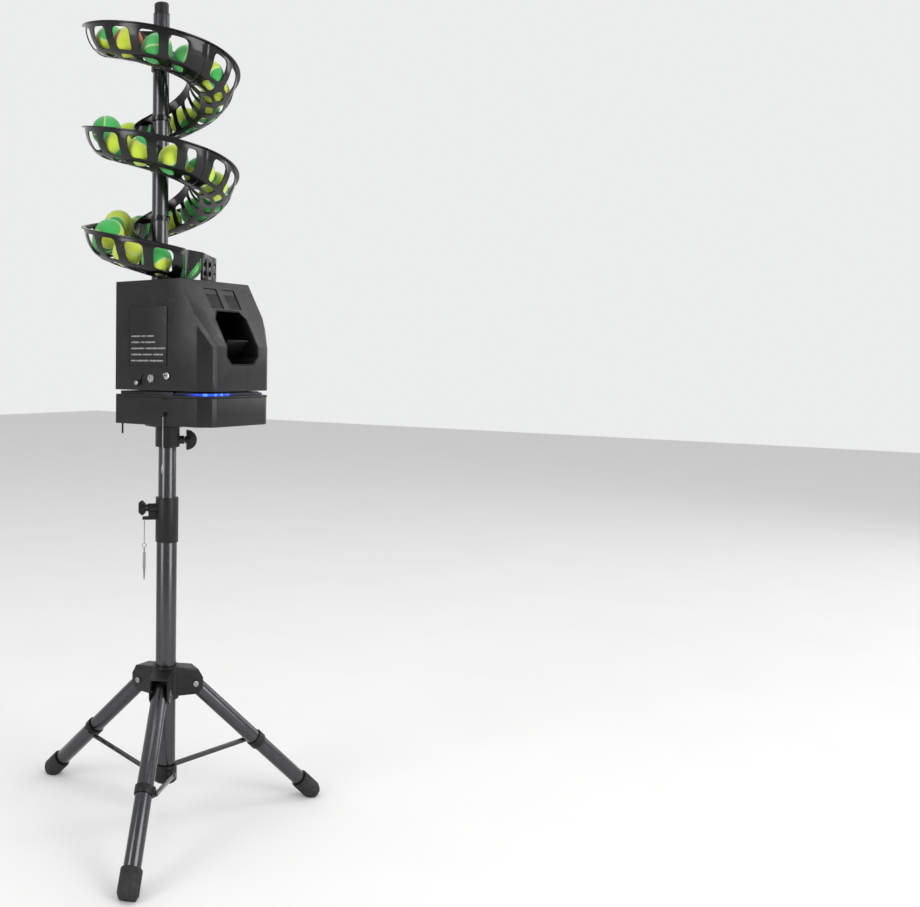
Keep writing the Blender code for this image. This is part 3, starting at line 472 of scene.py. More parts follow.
def wing_plate(name, z, start, end):
    """Plate with cropped corners that lies along the screw."""
    crop = 0.006
    outline = [
        (start, z - WING_HALF_SPAN + crop),
        (start + crop, z - WING_HALF_SPAN),
        (end - crop, z - WING_HALF_SPAN),
        (end, z - WING_HALF_SPAN + crop),
        (end, z + WING_HALF_SPAN - crop),
        (end - crop, z + WING_HALF_SPAN),
        (start + crop, z + WING_HALF_SPAN),
        (start, z + WING_HALF_SPAN - crop),
    ]
    plate = across(name, outline, -0.0028, 0.0028)
    plate.data.transform(Matrix.Rotation(math.radians(90), 4, "Z") @ Matrix.Scale(-1, 4, (0, 1, 0)))
    plate.data.flip_normals()
    return plate


def make_height_knob():
    wing_knob("height_knob", CLAMP_Z, COLLAR_ANGLE, KNOB_START, KNOB_END, INNER_TUBE_R + 0.0008)


def make_lock_pin():
    """Tapered pin with a flat head that hangs from the ring."""
    low, high = PIN_Z
    body = turned(
        "lock_pin",
        [(0, low), (0.0012, low), (PIN_R, low + 0.030), (PIN_R, high - 0.010), (0, high - 0.010)],
        SMALL_STEPS,
    )
    head = block("head", (-0.0012, 0.0012), (-0.0048, 0.0048), (high - 0.012, high))
    fuse(body, head)
    body.data.transform(Matrix.Translation((CHAIN_REACH, 0, 0)))
    aim(body, COLLAR_ANGLE)


# ---------------------------------------------------------------- tripod


def make_leg_hub():
    """Sliding sleeve with a covered pair of cheeks for each leg."""
    low, high = HUB_Z
    body = disc("leg_hub", HUB_SLEEVE_R, low, high)
    cheek = [(0.020, 0.286), (0.070, 0.286), (0.084, 0.298), (0.084, 0.324), (0.072, 0.344), (0.020, 0.352)]
    cover = [(0.020, 0.3385), (0.0755, 0.3385), (0.072, 0.344), (0.020, 0.352)]
    inner, outer = CHEEK_SIDE
    for angle in LEG_ANGLES.values():
        for outline, low_side, high_side in (
            (cover, -outer, outer),
            (cheek, inner, outer),
            (cheek, -outer, -inner),
        ):
            piece = across("piece", outline, low_side, high_side)
            aim(piece, angle - 90)
            fuse(body, piece)
    boss = aim(radial_rod("boss", 0.020, 0.041, HUB_KNOB_Z, 0.0095), HUB_KNOB_ANGLE)
    fuse(body, boss)
    carve(
        body,
        disc("bore", HUB_BORE_R, low - 0.01, high + 0.01),
        aim(radial_rod("screw_bore", 0.010, 0.060, HUB_KNOB_Z, SCREW_BORE_R), HUB_KNOB_ANGLE),
    )
    for angle in LEG_ANGLES.values():
        start = (LEG_PIVOT_REACH, -0.03, LEG_PIVOT_Z)
        end = (LEG_PIVOT_REACH, 0.03, LEG_PIVOT_Z)
        hole = rod("hole", start, end, PIVOT_BORE_R)
        carve(body, aim(hole, angle))


def make_hub_knob():
    """Fluted clamp knob with its screw."""
    body = radial_rod("hub_knob", 0.0425, 0.056, HUB_KNOB_Z, 0.0150)
    screw = radial_rod("screw", OUTER_TUBE_R + 0.0008, 0.046, HUB_KNOB_Z, SCREW_R)
    fuse(body, screw)
    flutes = 6
    for i in range(flutes):
        angle = 2 * math.pi * i / flutes
        side, height = 0.0165 * math.cos(angle), 0.0165 * math.sin(angle)
        groove_z = HUB_KNOB_Z + height
        groove = rod("groove", (0.040, side, groove_z), (0.058, side, groove_z), 0.0035, 12)
        carve(body, groove)
    aim(body, HUB_KNOB_ANGLE)


def make_hub_pin(place, angle):
    """Riveted pin through one pair of cheeks."""
    outer = CHEEK_SIDE[1] + GAP
    head = outer + RIVET_HEIGHT
    centre = (LEG_PIVOT_REACH, LEG_PIVOT_Z)
    body = rod("hub_pin_" + place, (centre[0], -head, centre[1]), (centre[0], head, centre[1]), PIVOT_PIN_R)
    for sign in (-1, 1):
        cap = rod(
            "cap",
            (centre[0], sign * outer, centre[1]),
            (centre[0], sign * head, centre[1]),
            PIVOT_HEAD_R,
        )
        fuse(body, cap)
    aim(body, angle)


def leg_frame():
    """Matrix whose Z axis runs down a leg that leaves towards +X."""
    lean = math.radians(180 - LEG_SPREAD)
    return Matrix.Translation((LEG_PIVOT_REACH, 0, LEG_PIVOT_Z)) @ Matrix.Rotation(lean, 4, "Y")


def make_leg(place, angle):
    body = ring("leg_tube_" + place, LEG_BORE_R, LEG_R, -LEG_TOP_OVERHANG, LEG_LENGTH)
    carve(body, rod("hole", (0, -0.03, 0), (0, 0.03, 0), PIVOT_BORE_R))
    body.data.transform(leg_frame())
    aim(body, angle)


def make_foot(place, angle):
    """Rubber boot over the leg's end, cut level with the floor."""
    top = LEG_LENGTH - FOOT_GRIP
    body = turned(
        "foot_" + place,
        [
            (0, LEG_LENGTH + 0.0004),
            (LEG_R + GAP, LEG_LENGTH + 0.0004),
            (LEG_R + GAP, top),
            (FOOT_R - 0.001, top),
            (FOOT_R, top + 0.002),
            (FOOT_R, LEG_LENGTH + 0.020),
            (FOOT_R - 0.005, LEG_LENGTH + 0.030),
            (0, LEG_LENGTH + 0.032),
        ],
    )
    body.data.transform(leg_frame())
    carve(body, block("floor", (0.2, 0.6), (-0.1, 0.1), (-0.2, 0.0)))
    aim(body, angle)


def make_clip(place, angle):
    """Band round a leg with the pad its brace is riveted to."""
    body = disc("leg_clip_" + place, CLIP_R, CLIP_REACH - 0.009, CLIP_REACH + 0.009)
    pad = block("pad", (-0.0085, 0.0085), (0.010, 0.0236), (CLIP_REACH - 0.0085, CLIP_REACH + 0.0085))
    fuse(body, pad)
    carve(body, disc("bore", LEG_R + GAP, CLIP_REACH - 0.02, CLIP_REACH + 0.02))
    body.data.transform(leg_frame())
    aim(body, angle)


def make_brace(place, angle):
    """Flat bar with a rivet head at each end."""
    inner, outer = BRACE_SIDE
    half = BRACE_HALF_WIDTH
    outline = []
    for centre, first in ((BRACE_LENGTH, -90), (0.0, 90)):
        for i in range(7):
            turn = math.radians(first + 30 * i)
            outline.append((centre + half * math.cos(turn), half * math.sin(turn)))
    body = prism("brace_" + place, outline, inner, outer)
    for centre in (0.0, BRACE_LENGTH):
        head = disc("head", RIVET_R, outer - 0.001, outer + RIVET_HEIGHT, SMALL_STEPS)
        head.data.transform(Matrix.Translation((centre, 0, 0)))
        fuse(body, head)
    stand_up = Matrix.Rotation(math.radians(90), 4, "X") @ Matrix.Scale(-1, 4, (0, 0, 1))
    body.data.transform(stand_up)
    body.data.flip_normals()
    rise = Matrix.Rotation(math.radians(-BRACE_RISE), 4, "Y")
    body.data.transform(Matrix.Translation((BRACE_PIVOT_REACH, 0, BRACE_PIVOT_Z)) @ rise)
    aim(body, angle)


# ---------------------------------------------------------------- neck and base


def make_neck_socket():
    """Flanged socket that drops over the mast and carries the head."""
    low, high = NECK_Z
    flange_z = high - 0.008
    body = turned(
        "neck_socket",
        [
            (INNER_TUBE_R + GAP, low),
            (NECK_R - 0.0015, low),
            (NECK_R, low + 0.0015),
            (NECK_R, flange_z - 0.004),
            (NECK_FLANGE_R, flange_z),
            (NECK_FLANGE_R, high),
            (0, high),
            (0, INNER_TUBE_Z[1] + 0.004),
            (INNER_TUBE_R + GAP, INNER_TUBE_Z[1] + 0.004),
        ],
    )
    boss = aim(radial_rod("boss", 0.024, 0.0385, NECK_SCREW_Z, 0.0095), NECK_SCREW_ANGLE)
    fuse(body, boss)
    carve(
        body,
        disc("bore", INNER_TUBE_R + GAP, low - 0.01, INNER_TUBE_Z[1] + 0.002),
        aim(radial_rod("screw_bore", 0.010, 0.050, NECK_SCREW_Z, SCREW_BORE_R), NECK_SCREW_ANGLE),
    )


def make_neck_knob():
    """Screw with a half-moon grip."""
    body = radial_rod("neck_knob", 0.0395, 0.052, NECK_SCREW_Z, KNOB_HUB_R)
    screw = radial_rod("screw", INNER_TUBE_R + 0.0008, 0.042, NECK_SCREW_Z, SCREW_R)
    radius = 0.023
    outline = [(0.0430, NECK_SCREW_Z + radius), (0.0430, NECK_SCREW_Z - radius)]
    for i in range(9):
        turn = math.radians(-80 + 20 * i)
        outline.append((0.0445 + radius * math.cos(turn), NECK_SCREW_Z + radius * math.sin(turn)))
    grip = across("grip", outline, -0.0032, 0.0032)
    grip.data.transform(Matrix.Rotation(math.radians(90), 4, "Z") @ Matrix.Scale(-1, 4, (0, 1, 0)))
    grip.data.flip_normals()
    fuse(body, screw, grip)
    aim(body, NECK_SCREW_ANGLE)


def plan(inset):
    """Outline shared by the base and the housing, moved in from the wall."""
    half = PLAN_HALF_WIDTH - inset
    front = PLAN_FRONT + inset
    rear = PLAN_REAR - inset
    corner = PLAN_CORNER - inset * (2 - math.sqrt(2))
    back_corner = max(PLAN_REAR_CORNER - inset * (2 - math.sqrt(2)), 0.001)
    return [
        (-half + corner, front),
        (half - corner, front),
        (half, front + corner),
        (half, rear - back_corner),
        (half - back_corner, rear),
        (-half + back_corner, rear),
        (-half, rear - back_corner),
        (-half, front + corner),
    ]


def make_light_strip():
    """Lit band along the front of the gap between base and housing."""
    low = DECK_Z[1] + GAP
    high = low + 0.005
    body = prism("light_strip", plan(0.012), low, high)
    carve(
        body,
        prism("inside", plan(0.017), low - 0.01, high + 0.01),
        block("rear", (-0.2, 0.2), (STRIP_END_Y, 0.2), (low - 0.01, high + 0.01)),
    )


# ---------------------------------------------------------------- housing


def slope_line(inset):
    """Where the sloped front, moved in from its face, meets the front wall and the top."""
    run = SLOPE_TOP_Y - PLAN_FRONT
    rise = HOUSING_Z[1] - SLOPE_LOW_Z
    length = math.hypot(run, rise)
    y = PLAN_FRONT + inset * rise / length
    z = SLOPE_LOW_Z - inset * run / length
    grade = rise / run
    front = PLAN_FRONT + inset
    top = HOUSING_Z[1] - inset
    return (front, z + (front - y) * grade), (y + (top - z) / grade, top)


def housing_solid(name, inset, low):
    """The housing's filled shape, moved in from its outer faces."""
    low_point, top_point = slope_line(inset)
    rear = PLAN_REAR - inset
    outline = [(rear, low), (PLAN_FRONT + inset, low), low_point, top_point, (rear, top_point[1])]
    body = prism(name, plan(inset), low, HOUSING_Z[1] - inset)
    return keep_inside(body, across("sides", outline, -0.2, 0.2))


def mouth_outline(inset):
    """Long octagon of the ball's way out, as (x, z)."""
    half = MOUTH_HALF_WIDTH - inset
    low, high = MOUTH_Z[0] + inset, MOUTH_Z[1] - inset
    corner = MOUTH_CORNER - inset * (2 - math.sqrt(2))
    return [
        (-half + corner, low),
        (half - corner, low),
        (half, low + corner),
        (half, high - corner),
        (half - corner, high),
        (-half + corner, high),
        (-half, high - corner),
        (-half, low + corner),
    ]


def mouth_prism(name, inset, rear):
    """The mouth's outline drawn back from well ahead of the housing."""
    front = PLAN_FRONT - 0.03
    outline = mouth_outline(inset)
    return drawn_out(name, [(x, front, z) for x, z in outline], [(x, rear, z) for x, z in outline])


def make_front_bezel():
    """Lining of the mouth, flush with the sloped face."""
    body = mouth_prism("front_bezel", 0.0004, -0.145)
    carve(body, mouth_prism("hole", 0.0004 + BEZEL_WALL, -0.100))
    keep_inside(body, housing_solid("limit", 0.0002, HOUSING_Z[0]))


# ---------------------------------------------------------------- launcher


def arm_point(distance, lean):
    """A point on the throwing arm, as (y, z)."""
    turn = math.radians(lean)
    return ARM_PIVOT[0] + distance * math.sin(turn), ARM_PIVOT[1] + distance * math.cos(turn)


def make_throw_arm():
    """Shaft, arm, striking pad and the lever that the winding wheel catches."""
    y, z = ARM_PIVOT
    body = rod("throw_arm", (-0.0600, y, z), (0.0560, y, z), ARM_SHAFT_R)
    bar = block("bar", (-0.0055, 0.0055), (-0.004, 0.004), (0.0, PAD_DISTANCE))
    bar.data.transform(Matrix.Translation((0, y, z)) @ Matrix.Rotation(math.radians(-ARM_LEAN), 4, "X"))
    centre = arm_point(PAD_DISTANCE, ARM_LEAN)
    lean = math.radians(ARM_LEAN)
    normal = Vector((0, -math.cos(lean), math.sin(lean)))
    middle = Vector((0, centre[0], centre[1]))
    pad = rod("pad", middle - normal * 0.0055, middle + normal * 0.0065, PAD_R, ROUND_STEPS)
    lever = block("lever", (-0.0600, -0.0560), (y, y + 0.0285), (z - 0.003, z + 0.003))
    fuse(body, bar, pad, lever)


def make_launch_ramp():
    """Curved track for the ball with a slot for the arm."""
    top = [
        (-0.040, 1.050),
        (-0.090, 1.050),
        (-0.130, 1.056),
        (-0.160, 1.068),
        (-0.182, 1.083),
        (-0.198, 1.100),
    ]
    under = [(y, z - 0.003) for y, z in reversed(top)]
    body = across("launch_ramp", top + under, -0.036, 0.036)
    carve(body, block("slot", (-0.009, 0.009), (-0.150, 0.0), (1.0, 1.2)))
    post_low = HOUSING_Z[0] + 0.003 + GAP
    for side in (-0.0345, 0.0305):
        post = block("post", (side, side + 0.004), (-0.125, -0.100), (post_low, 1.0515))
        fuse(body, post)


# ---------------------------------------------------------------- ball store


def make_ball_pole():
    body = ring("ball_pole", POLE_R - 0.0015, POLE_R, POLE_Z[0], POLE_Z[1])
    body.data.transform(Matrix.Translation((0, POLE_Y, 0)))


def make_pole_cap():
    """Plug in the top of the pole."""
    low = POLE_Z[1] + GAP
    tip = POLE_TIP_Z
    body = turned(
        "pole_cap",
        [
            (0, POLE_Z[1] - 0.020),
            (POLE_TIP_R, POLE_Z[1] - 0.020),
            (POLE_TIP_R, low),
            (POLE_R, low),
            (POLE_R, low + 0.0025),
            (POLE_TIP_R, low + 0.0025),
            (POLE_TIP_R, tip - 0.002),
            (POLE_TIP_R - 0.002, tip),
            (0, tip),
        ],
    )
    body.data.transform(Matrix.Translation((0, POLE_Y, 0)))


def rim_height(angle):
    """Height of the spiral's rim at an angle counted down from the top end."""
    return SPIRAL_TOP_Z - SPIRAL_PITCH * (angle - SPIRAL_START) / 360


def pole_clip(start):
    """Ring round the pole and the arm that reaches a segment's inner wall."""
    height = rim_height(start + 4)
    low, high = height - 0.020, height - 0.009
    body = ring("clip", POLE_R + GAP, POLE_R + 0.0040, low, high, ROUND_STEPS)
    reach = SPIRAL_MID_R - SPIRAL_HALF_WIDTH + SPIRAL_WALL * 0.5
    arm = block("arm", (POLE_R + 0.0020, reach), (-0.0025, 0.0025), (low, high))
    aim(arm, start + 4)
    return fuse(body, arm)


def guard_path():
    """Plan points of the guard, each with the heights of its lower and upper edges."""
    floor = HOUSING_Z[1] + GAP
    start, end = GUARD_CUT_ANGLES
    stations = []
    for i in range(GUARD_CUT_STEPS + 1):
        part = i / GUARD_CUT_STEPS
        angle = start + (end - start) * part
        top = GUARD_TOP_Z[0] + (GUARD_TOP_Z[1] - GUARD_TOP_Z[0]) * part
        under = floor + (top - GUARD_RIM_DEPTH - floor) * part
        stations.append((angle, GUARD_REACH[0] + (GUARD_REACH[1] - GUARD_REACH[0]) * part, under, top))
    for i in range(GUARD_WALL_STEPS + 1):
        part = i / GUARD_WALL_STEPS
        angle = end + 0.6 + (GUARD_END_ANGLE - end - 0.6) * part
        top = GUARD_TOP_Z[1] + (GUARD_TOP_Z[2] - GUARD_TOP_Z[1]) * part
        stations.append((angle, GUARD_REACH[1] + (GUARD_REACH[2] - GUARD_REACH[1]) * part, floor, top))
    path = []
    for angle, reach, low, high in stations:
        turn = math.radians(angle)
        path.append((Vector((reach * math.cos(turn), POLE_Y + reach * math.sin(turn))), low, high))
    count = len(GUARD_RETURN)
    for i, place in enumerate(GUARD_RETURN):
        high = GUARD_TOP_Z[2] + (GUARD_TOP_Z[3] - GUARD_TOP_Z[2]) * (i + 1) / count
        path.append((Vector(place), floor, high))
    return path


def make_end_guard():
    """Carries on the spiral's rim, cut away below it, then stands and turns the balls into the inlet."""
    path = guard_path()
    places = [place for place, low, high in path]
    last = len(path) - 1
    points = []
    for i, (place, low, high) in enumerate(path):
        along = (places[min(i + 1, last)] - places[max(i - 1, 0)]).normalized()
        inside = place + Vector((-along.y, along.x)) * SPIRAL_WALL
        for corner, height in ((place, low), (place, high), (inside, high), (inside, low)):
            points.append((corner.x, corner.y, height))
    faces = [(0, 1, 2, 3), tuple(range(4 * last, 4 * last + 4))]
    for i in range(last):
        for j in range(4):
            k = (j + 1) % 4
            faces.append((4 * i + j, 4 * i + k, 4 * i + 4 + k, 4 * i + 4 + j))
    body = make_body("end_guard", points, faces)
    first_hole = GUARD_CUT_STEPS + 2
    for i in range(first_hole, last, 2):
        along = (places[i + 1] - places[i - 1]).normalized()
        side = Vector((-along.y, along.x))
        for height in GUARD_HOLE_Z:
            start = places[i] - side * GUARD_HOLE_R
            end = places[i] + side * (GUARD_HOLE_R + SPIRAL_WALL)
            carve(body, rod("hole", (*start, height), (*end, height), GUARD_HOLE_R, 12))


def make_label_plate():
    """Blank rating plate on the side."""
    face = -PLAN_HALF_WIDTH - GAP
    block("label_plate", (face - LABEL_THICK, face), LABEL_Y, LABEL_Z)


# ---------------------------------------------------------------- materials


def new_material(name):
    """Node material with its Principled shader and its object-position source."""
    material = bpy.data.materials.new(name)
    material.use_nodes = True
    tree = material.node_tree
    shader = tree.nodes["Principled BSDF"]
    place = tree.nodes.new("ShaderNodeTexCoord")
    return material, tree, shader, place.outputs["Object"]


def noise(tree, place, scale, detail=3.0, roughness=0.55, stretch=None):
    """Noise value over object positions, stretched along an axis if asked."""
    if stretch:
        mapping = tree.nodes.new("ShaderNodeMapping")
        mapping.inputs["Scale"].default_value = stretch
        tree.links.new(place, mapping.inputs["Vector"])
        place = mapping.outputs["Vector"]
    node = tree.nodes.new("ShaderNodeTexNoise")
    node.inputs["Scale"].default_value = scale
    node.inputs["Detail"].default_value = detail
    node.inputs["Roughness"].default_value = roughness
    tree.links.new(place, node.inputs["Vector"])
    return node.outputs["Fac"]


def spread(tree, value, low, high):
    """Maps a 0 to 1 value onto a range."""
    node = tree.nodes.new("ShaderNodeMapRange")
    node.inputs["From Min"].default_value = 0.3
    node.inputs["From Max"].default_value = 0.7
    node.inputs["To Min"].default_value = low
    node.inputs["To Max"].default_value = high
    tree.links.new(value, node.inputs["Value"])
    return node.outputs["Result"]


def blend_colours(tree, factor, one, two):
    """Mixes two colours by a factor."""
    node = tree.nodes.new("ShaderNodeMix")
    node.data_type = "RGBA"
    for socket, colour in ((node.inputs[6], one), (node.inputs[7], two)):
        if isinstance(colour, tuple):
            socket.default_value = (*colour, 1.0)
        else:
            tree.links.new(colour, socket)
    tree.links.new(factor, node.inputs["Factor"])
    return node.outputs[2]


def bump(tree, shader, height, strength, distance):
    node = tree.nodes.new("ShaderNodeBump")
    node.inputs["Strength"].default_value = strength
    node.inputs["Distance"].default_value = distance
    tree.links.new(height, node.inputs["Height"])
    tree.links.new(node.outputs["Normal"], shader.inputs["Normal"])


def worn_edges(tree, colour, wear_colour, amount):
    """Lightens convex edges a little, as rubbed plastic and paint are."""
    geometry = tree.nodes.new("ShaderNodeNewGeometry")
    ramp = tree.nodes.new("ShaderNodeMapRange")
    ramp.inputs["From Min"].default_value = 0.52
    ramp.inputs["From Max"].default_value = 0.62
    ramp.inputs["To Min"].default_value = 0.0
    ramp.inputs["To Max"].default_value = amount
    tree.links.new(geometry.outputs["Pointiness"], ramp.inputs["Value"])
    return blend_colours(tree, ramp.outputs["Result"], colour, wear_colour)


def plastic(name, dark, light, rough, grain_scale=900.0, grain=0.25, mottled=18.0, wear=0.12, gloss=0.35):
    """Moulded plastic with a spark-eroded grain, faint mottling and rubbed edges."""
    material, tree, shader, place = new_material(name)
    cloud = spread(tree, noise(tree, place, mottled, 5.0), 0.0, 1.0)
    base = blend_colours(tree, cloud, dark, light)
    brighter = tuple(min(1.0, c * 2.2 + 0.02) for c in light)
    tree.links.new(worn_edges(tree, base, brighter, wear), shader.inputs["Base Color"])
    roughness = spread(tree, noise(tree, place, 60.0), rough - 0.06, rough + 0.08)
    tree.links.new(roughness, shader.inputs["Roughness"])
    shader.inputs["Specular IOR Level"].default_value = gloss
    bump(tree, shader, noise(tree, place, grain_scale, 2.0), grain, 0.0004)
    return material


def coated_tube(name):
    """Dark gunmetal powder coat on drawn tube, with faint lengthwise marks."""
    material, tree, shader, place = new_material(name)
    lines = noise(tree, place, 160.0, 3.0, 0.5, (1.0, 1.0, 0.04))
    base = blend_colours(tree, spread(tree, lines, 0.0, 1.0), (0.068, 0.069, 0.072), (0.082, 0.083, 0.087))
    tree.links.new(worn_edges(tree, base, (0.12, 0.12, 0.13), 0.25), shader.inputs["Base Color"])
    tree.links.new(spread(tree, noise(tree, place, 90.0), 0.20, 0.27), shader.inputs["Roughness"])
    shader.inputs["Metallic"].default_value = 0.95
    bump(tree, shader, noise(tree, place, 700.0, 3.0), 0.03, 0.0002)
    return material


def bright_metal(name, dark, light, rough, brushed=(1.0, 1.0, 0.05)):
    """Plated steel with fine brushing and small stains."""
    material, tree, shader, place = new_material(name)
    lines = noise(tree, place, 900.0, 3.0, 0.6, brushed)
    base = blend_colours(tree, spread(tree, lines, 0.0, 1.0), dark, light)
    tree.links.new(base, shader.inputs["Base Color"])
    tree.links.new(spread(tree, noise(tree, place, 140.0), rough, rough + 0.14), shader.inputs["Roughness"])
    shader.inputs["Metallic"].default_value = 1.0
    bump(tree, shader, lines, 0.08, 0.0002)
    return material


def rubber(name):
    """Matt black rubber with a dusty bloom."""
    material, tree, shader, place = new_material(name)
    dust = spread(tree, noise(tree, place, 40.0, 6.0), 0.0, 1.0)
    base = blend_colours(tree, dust, (0.005, 0.005, 0.005), (0.013, 0.013, 0.012))
    tree.links.new(base, shader.inputs["Base Color"])
    tree.links.new(spread(tree, noise(tree, place, 120.0), 0.62, 0.85), shader.inputs["Roughness"])
    bump(tree, shader, noise(tree, place, 520.0, 4.0), 0.35, 0.0005)
    return material


def lit_diffuser(name):
    """Blue diffuser with lamps behind it at even steps, brightest beside the front corner."""
    material, tree, shader, place = new_material(name)
    parts = tree.nodes.new("ShaderNodeSeparateXYZ")
    tree.links.new(place, parts.inputs["Vector"])
    level = tree.nodes.new("ShaderNodeCombineXYZ")
    tree.links.new(parts.outputs["X"], level.inputs["X"])
    tree.links.new(parts.outputs["Y"], level.inputs["Y"])
    away = tree.nodes.new("ShaderNodeVectorMath")
    away.operation = "DISTANCE"
    away.inputs[1].default_value = (GLOW_X, PLAN_FRONT + MAST_Y + GLOW_INSET, 0.0)
    tree.links.new(level.outputs["Vector"], away.inputs[0])
    scaled = tree.nodes.new("ShaderNodeMath")
    scaled.operation = "MULTIPLY"
    scaled.inputs[1].default_value = GLOW_RIPPLE
    wave = tree.nodes.new("ShaderNodeMath")
    wave.operation = "SINE"
    tree.links.new(parts.outputs["X"], scaled.inputs[0])
    tree.links.new(scaled.outputs[0], wave.inputs[0])
    bright = spread(tree, wave.outputs[0], 0.0, 1.0)
    lamps = blend_colours(tree, bright, (0.012, 0.05, 0.60), (0.10, 0.26, 1.0))
    fade = tree.nodes.new("ShaderNodeMapRange")
    fade.interpolation_type = "SMOOTHSTEP"
    fade.inputs["From Min"].default_value, fade.inputs["From Max"].default_value = GLOW_FADE
    tree.links.new(away.outputs["Value"], fade.inputs["Value"])
    glow = blend_colours(tree, fade.outputs["Result"], lamps, (0.0, 0.0005, 0.008))
    tree.links.new(glow, shader.inputs["Emission Color"])
    base = blend_colours(tree, fade.outputs["Result"], (0.01, 0.04, 0.30), (0.004, 0.006, 0.02))
    tree.links.new(base, shader.inputs["Base Color"])
    shader.inputs["Emission Strength"].default_value = GLOW_STRENGTH
    shader.inputs["Roughness"].default_value = 0.4
    return material


def ball_felt(name, yellow, green):
    """Two-tone felt with a pale seam, from the ball's own seam attributes."""
    material, tree, shader, place = new_material(name)
    side = tree.nodes.new("ShaderNodeAttribute")
    side.attribute_name = "seam_side"
    seam = tree.nodes.new("ShaderNodeAttribute")
    seam.attribute_name = "seam_line"
    fuzz = noise(tree, place, 420.0, 5.0, 0.7)
    yellow_felt = blend_colours(tree, fuzz, tuple(0.72 * c for c in yellow), yellow)
    green_felt = blend_colours(tree, fuzz, tuple(0.68 * c for c in green), green)
    halves = blend_colours(tree, side.outputs["Fac"], yellow_felt, green_felt)
    base = blend_colours(tree, seam.outputs["Fac"], halves, SEAM_COLOUR)
    tree.links.new(base, shader.inputs["Base Color"])
    shader.inputs["Roughness"].default_value = 0.95
    shader.inputs["Sheen Weight"].default_value = 0.6
    shader.inputs["Sheen Roughness"].default_value = 0.4
    bump(tree, shader, noise(tree, place, 900.0, 5.0, 0.75), 0.6, 0.0012)
    return material


def floor_material():
    material, tree, shader, place = new_material("studio_floor")
    base = blend_colours(tree, noise(tree, place, 3.0), (0.76, 0.755, 0.75), (0.80, 0.795, 0.79))
    tree.links.new(base, shader.inputs["Base Color"])
    shader.inputs["Roughness"].default_value = 0.85
    return material


def make_materials():
    """Every finish, by the record's slot name."""
    return {
        "tube": coated_tube("tube_coat"),
        "moulding": plastic("moulded_nylon", (0.004, 0.004, 0.0045), (0.007, 0.007, 0.0075), 0.42, gloss=0.3),
        "shell": plastic(
            "shell_charcoal", (0.005, 0.005, 0.0048), (0.0075, 0.0075, 0.0072), 0.35, 900.0, 0.10, gloss=0.34
        ),
        "bezel": plastic("bezel_black", (0.0015, 0.0015, 0.0015), (0.003, 0.003, 0.003), 0.45, gloss=0.2),
        "spiral": plastic(
            "spiral_satin", (0.0010, 0.0010, 0.0010), (0.002, 0.002, 0.0022), 0.19, 1300.0, 0.05, gloss=0.46
        ),
        "rubber": rubber("boot_rubber"),
        "steel": bright_metal("zinc_plate", (0.20, 0.20, 0.21), (0.34, 0.34, 0.35), 0.30),
        "chrome": bright_metal("chrome_plate", (0.38, 0.38, 0.39), (0.52, 0.52, 0.53), 0.14),
        "label": plastic(
            "label_film", (0.003, 0.003, 0.003), (0.005, 0.005, 0.0053), 0.42, 1500.0, 0.08, gloss=0.3
        ),
        "light": lit_diffuser("blue_diffuser"),
        "board": plastic("solder_mask", (0.010, 0.070, 0.030), (0.016, 0.100, 0.045), 0.30, 300.0, 0.2),
        "battery": plastic("shrink_sleeve", (0.010, 0.030, 0.110), (0.016, 0.045, 0.150), 0.25, 90.0, 0.2),
        "gear": plastic("acetal", (0.50, 0.49, 0.45), (0.58, 0.57, 0.53), 0.38, 500.0, 0.1, wear=0.1),
        "pad": plastic("pad_rubber", (0.045, 0.045, 0.048), (0.070, 0.070, 0.075), 0.60, 300.0, 0.4),
    }


# ---------------------------------------------------------------- placing


def baked(body):
    """Replaces a body's mesh with its modified one."""
    bpy.context.view_layer.update()
    mesh = bpy.data.meshes.new_from_object(body.evaluated_get(bpy.context.evaluated_depsgraph_get()))
    body.modifiers.clear()
    body.data = mesh
    return body


def soften(body, width, segments=2, sharp=32.0):
    """Rounds a body's edges and shades it smooth between them."""
    if width:
        bevel = body.modifiers.new("bevel", "BEVEL")
        bevel.width = width
        bevel.segments = segments
        bevel.limit_method = "ANGLE"
        bevel.angle_limit = math.radians(sharp)
        bevel.harden_normals = False
        baked(body)
    body.data.shade_smooth()
    body.data.set_sharp_from_angle(angle=math.radians(sharp))
    return body


def body_of_node():
    """Which moving body each CAD node belongs to."""
    found = {}
    for body, nodes in frame["record"]["behaviour"]["bodies"].items():
        for node in nodes:
            found[node] = body
    return found


def finish_piece(piece, node, name=None):
    """Moves a new piece into the machine's frame, names it and gives it a CAD node's finish and moving body.
    """
    piece.data.transform(Matrix.Translation((0, MAST_Y, 0)))
    piece.name = name or "fine_" + node
    piece.data.materials.clear()
    piece.data.materials.append(finishes[slots[node]])
    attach(piece, owners[node])
    return piece


def dress(node, width):
    """The finer piece drawn under a node's own name takes the node's place."""
    piece = newest(node)
    soften(piece, width)
    finish_piece(piece, node)
    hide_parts(node)
    return piece


def newest(node):
    """The object just drawn for a node, which Blender has named after it with a number."""
    found = [o for o in bpy.data.objects if o.name.startswith(node + ".")]
    if len(found) != 1:
        raise RuntimeError(node + " was drawn " + str(len(found)) + " times")
    return found[0]


# ---------------------------------------------------------------- finer pieces


def facing(face, direction):
    """Whether a face looks along a direction, within about 14 degrees."""
    return face.normal.dot(direction) > 0.97


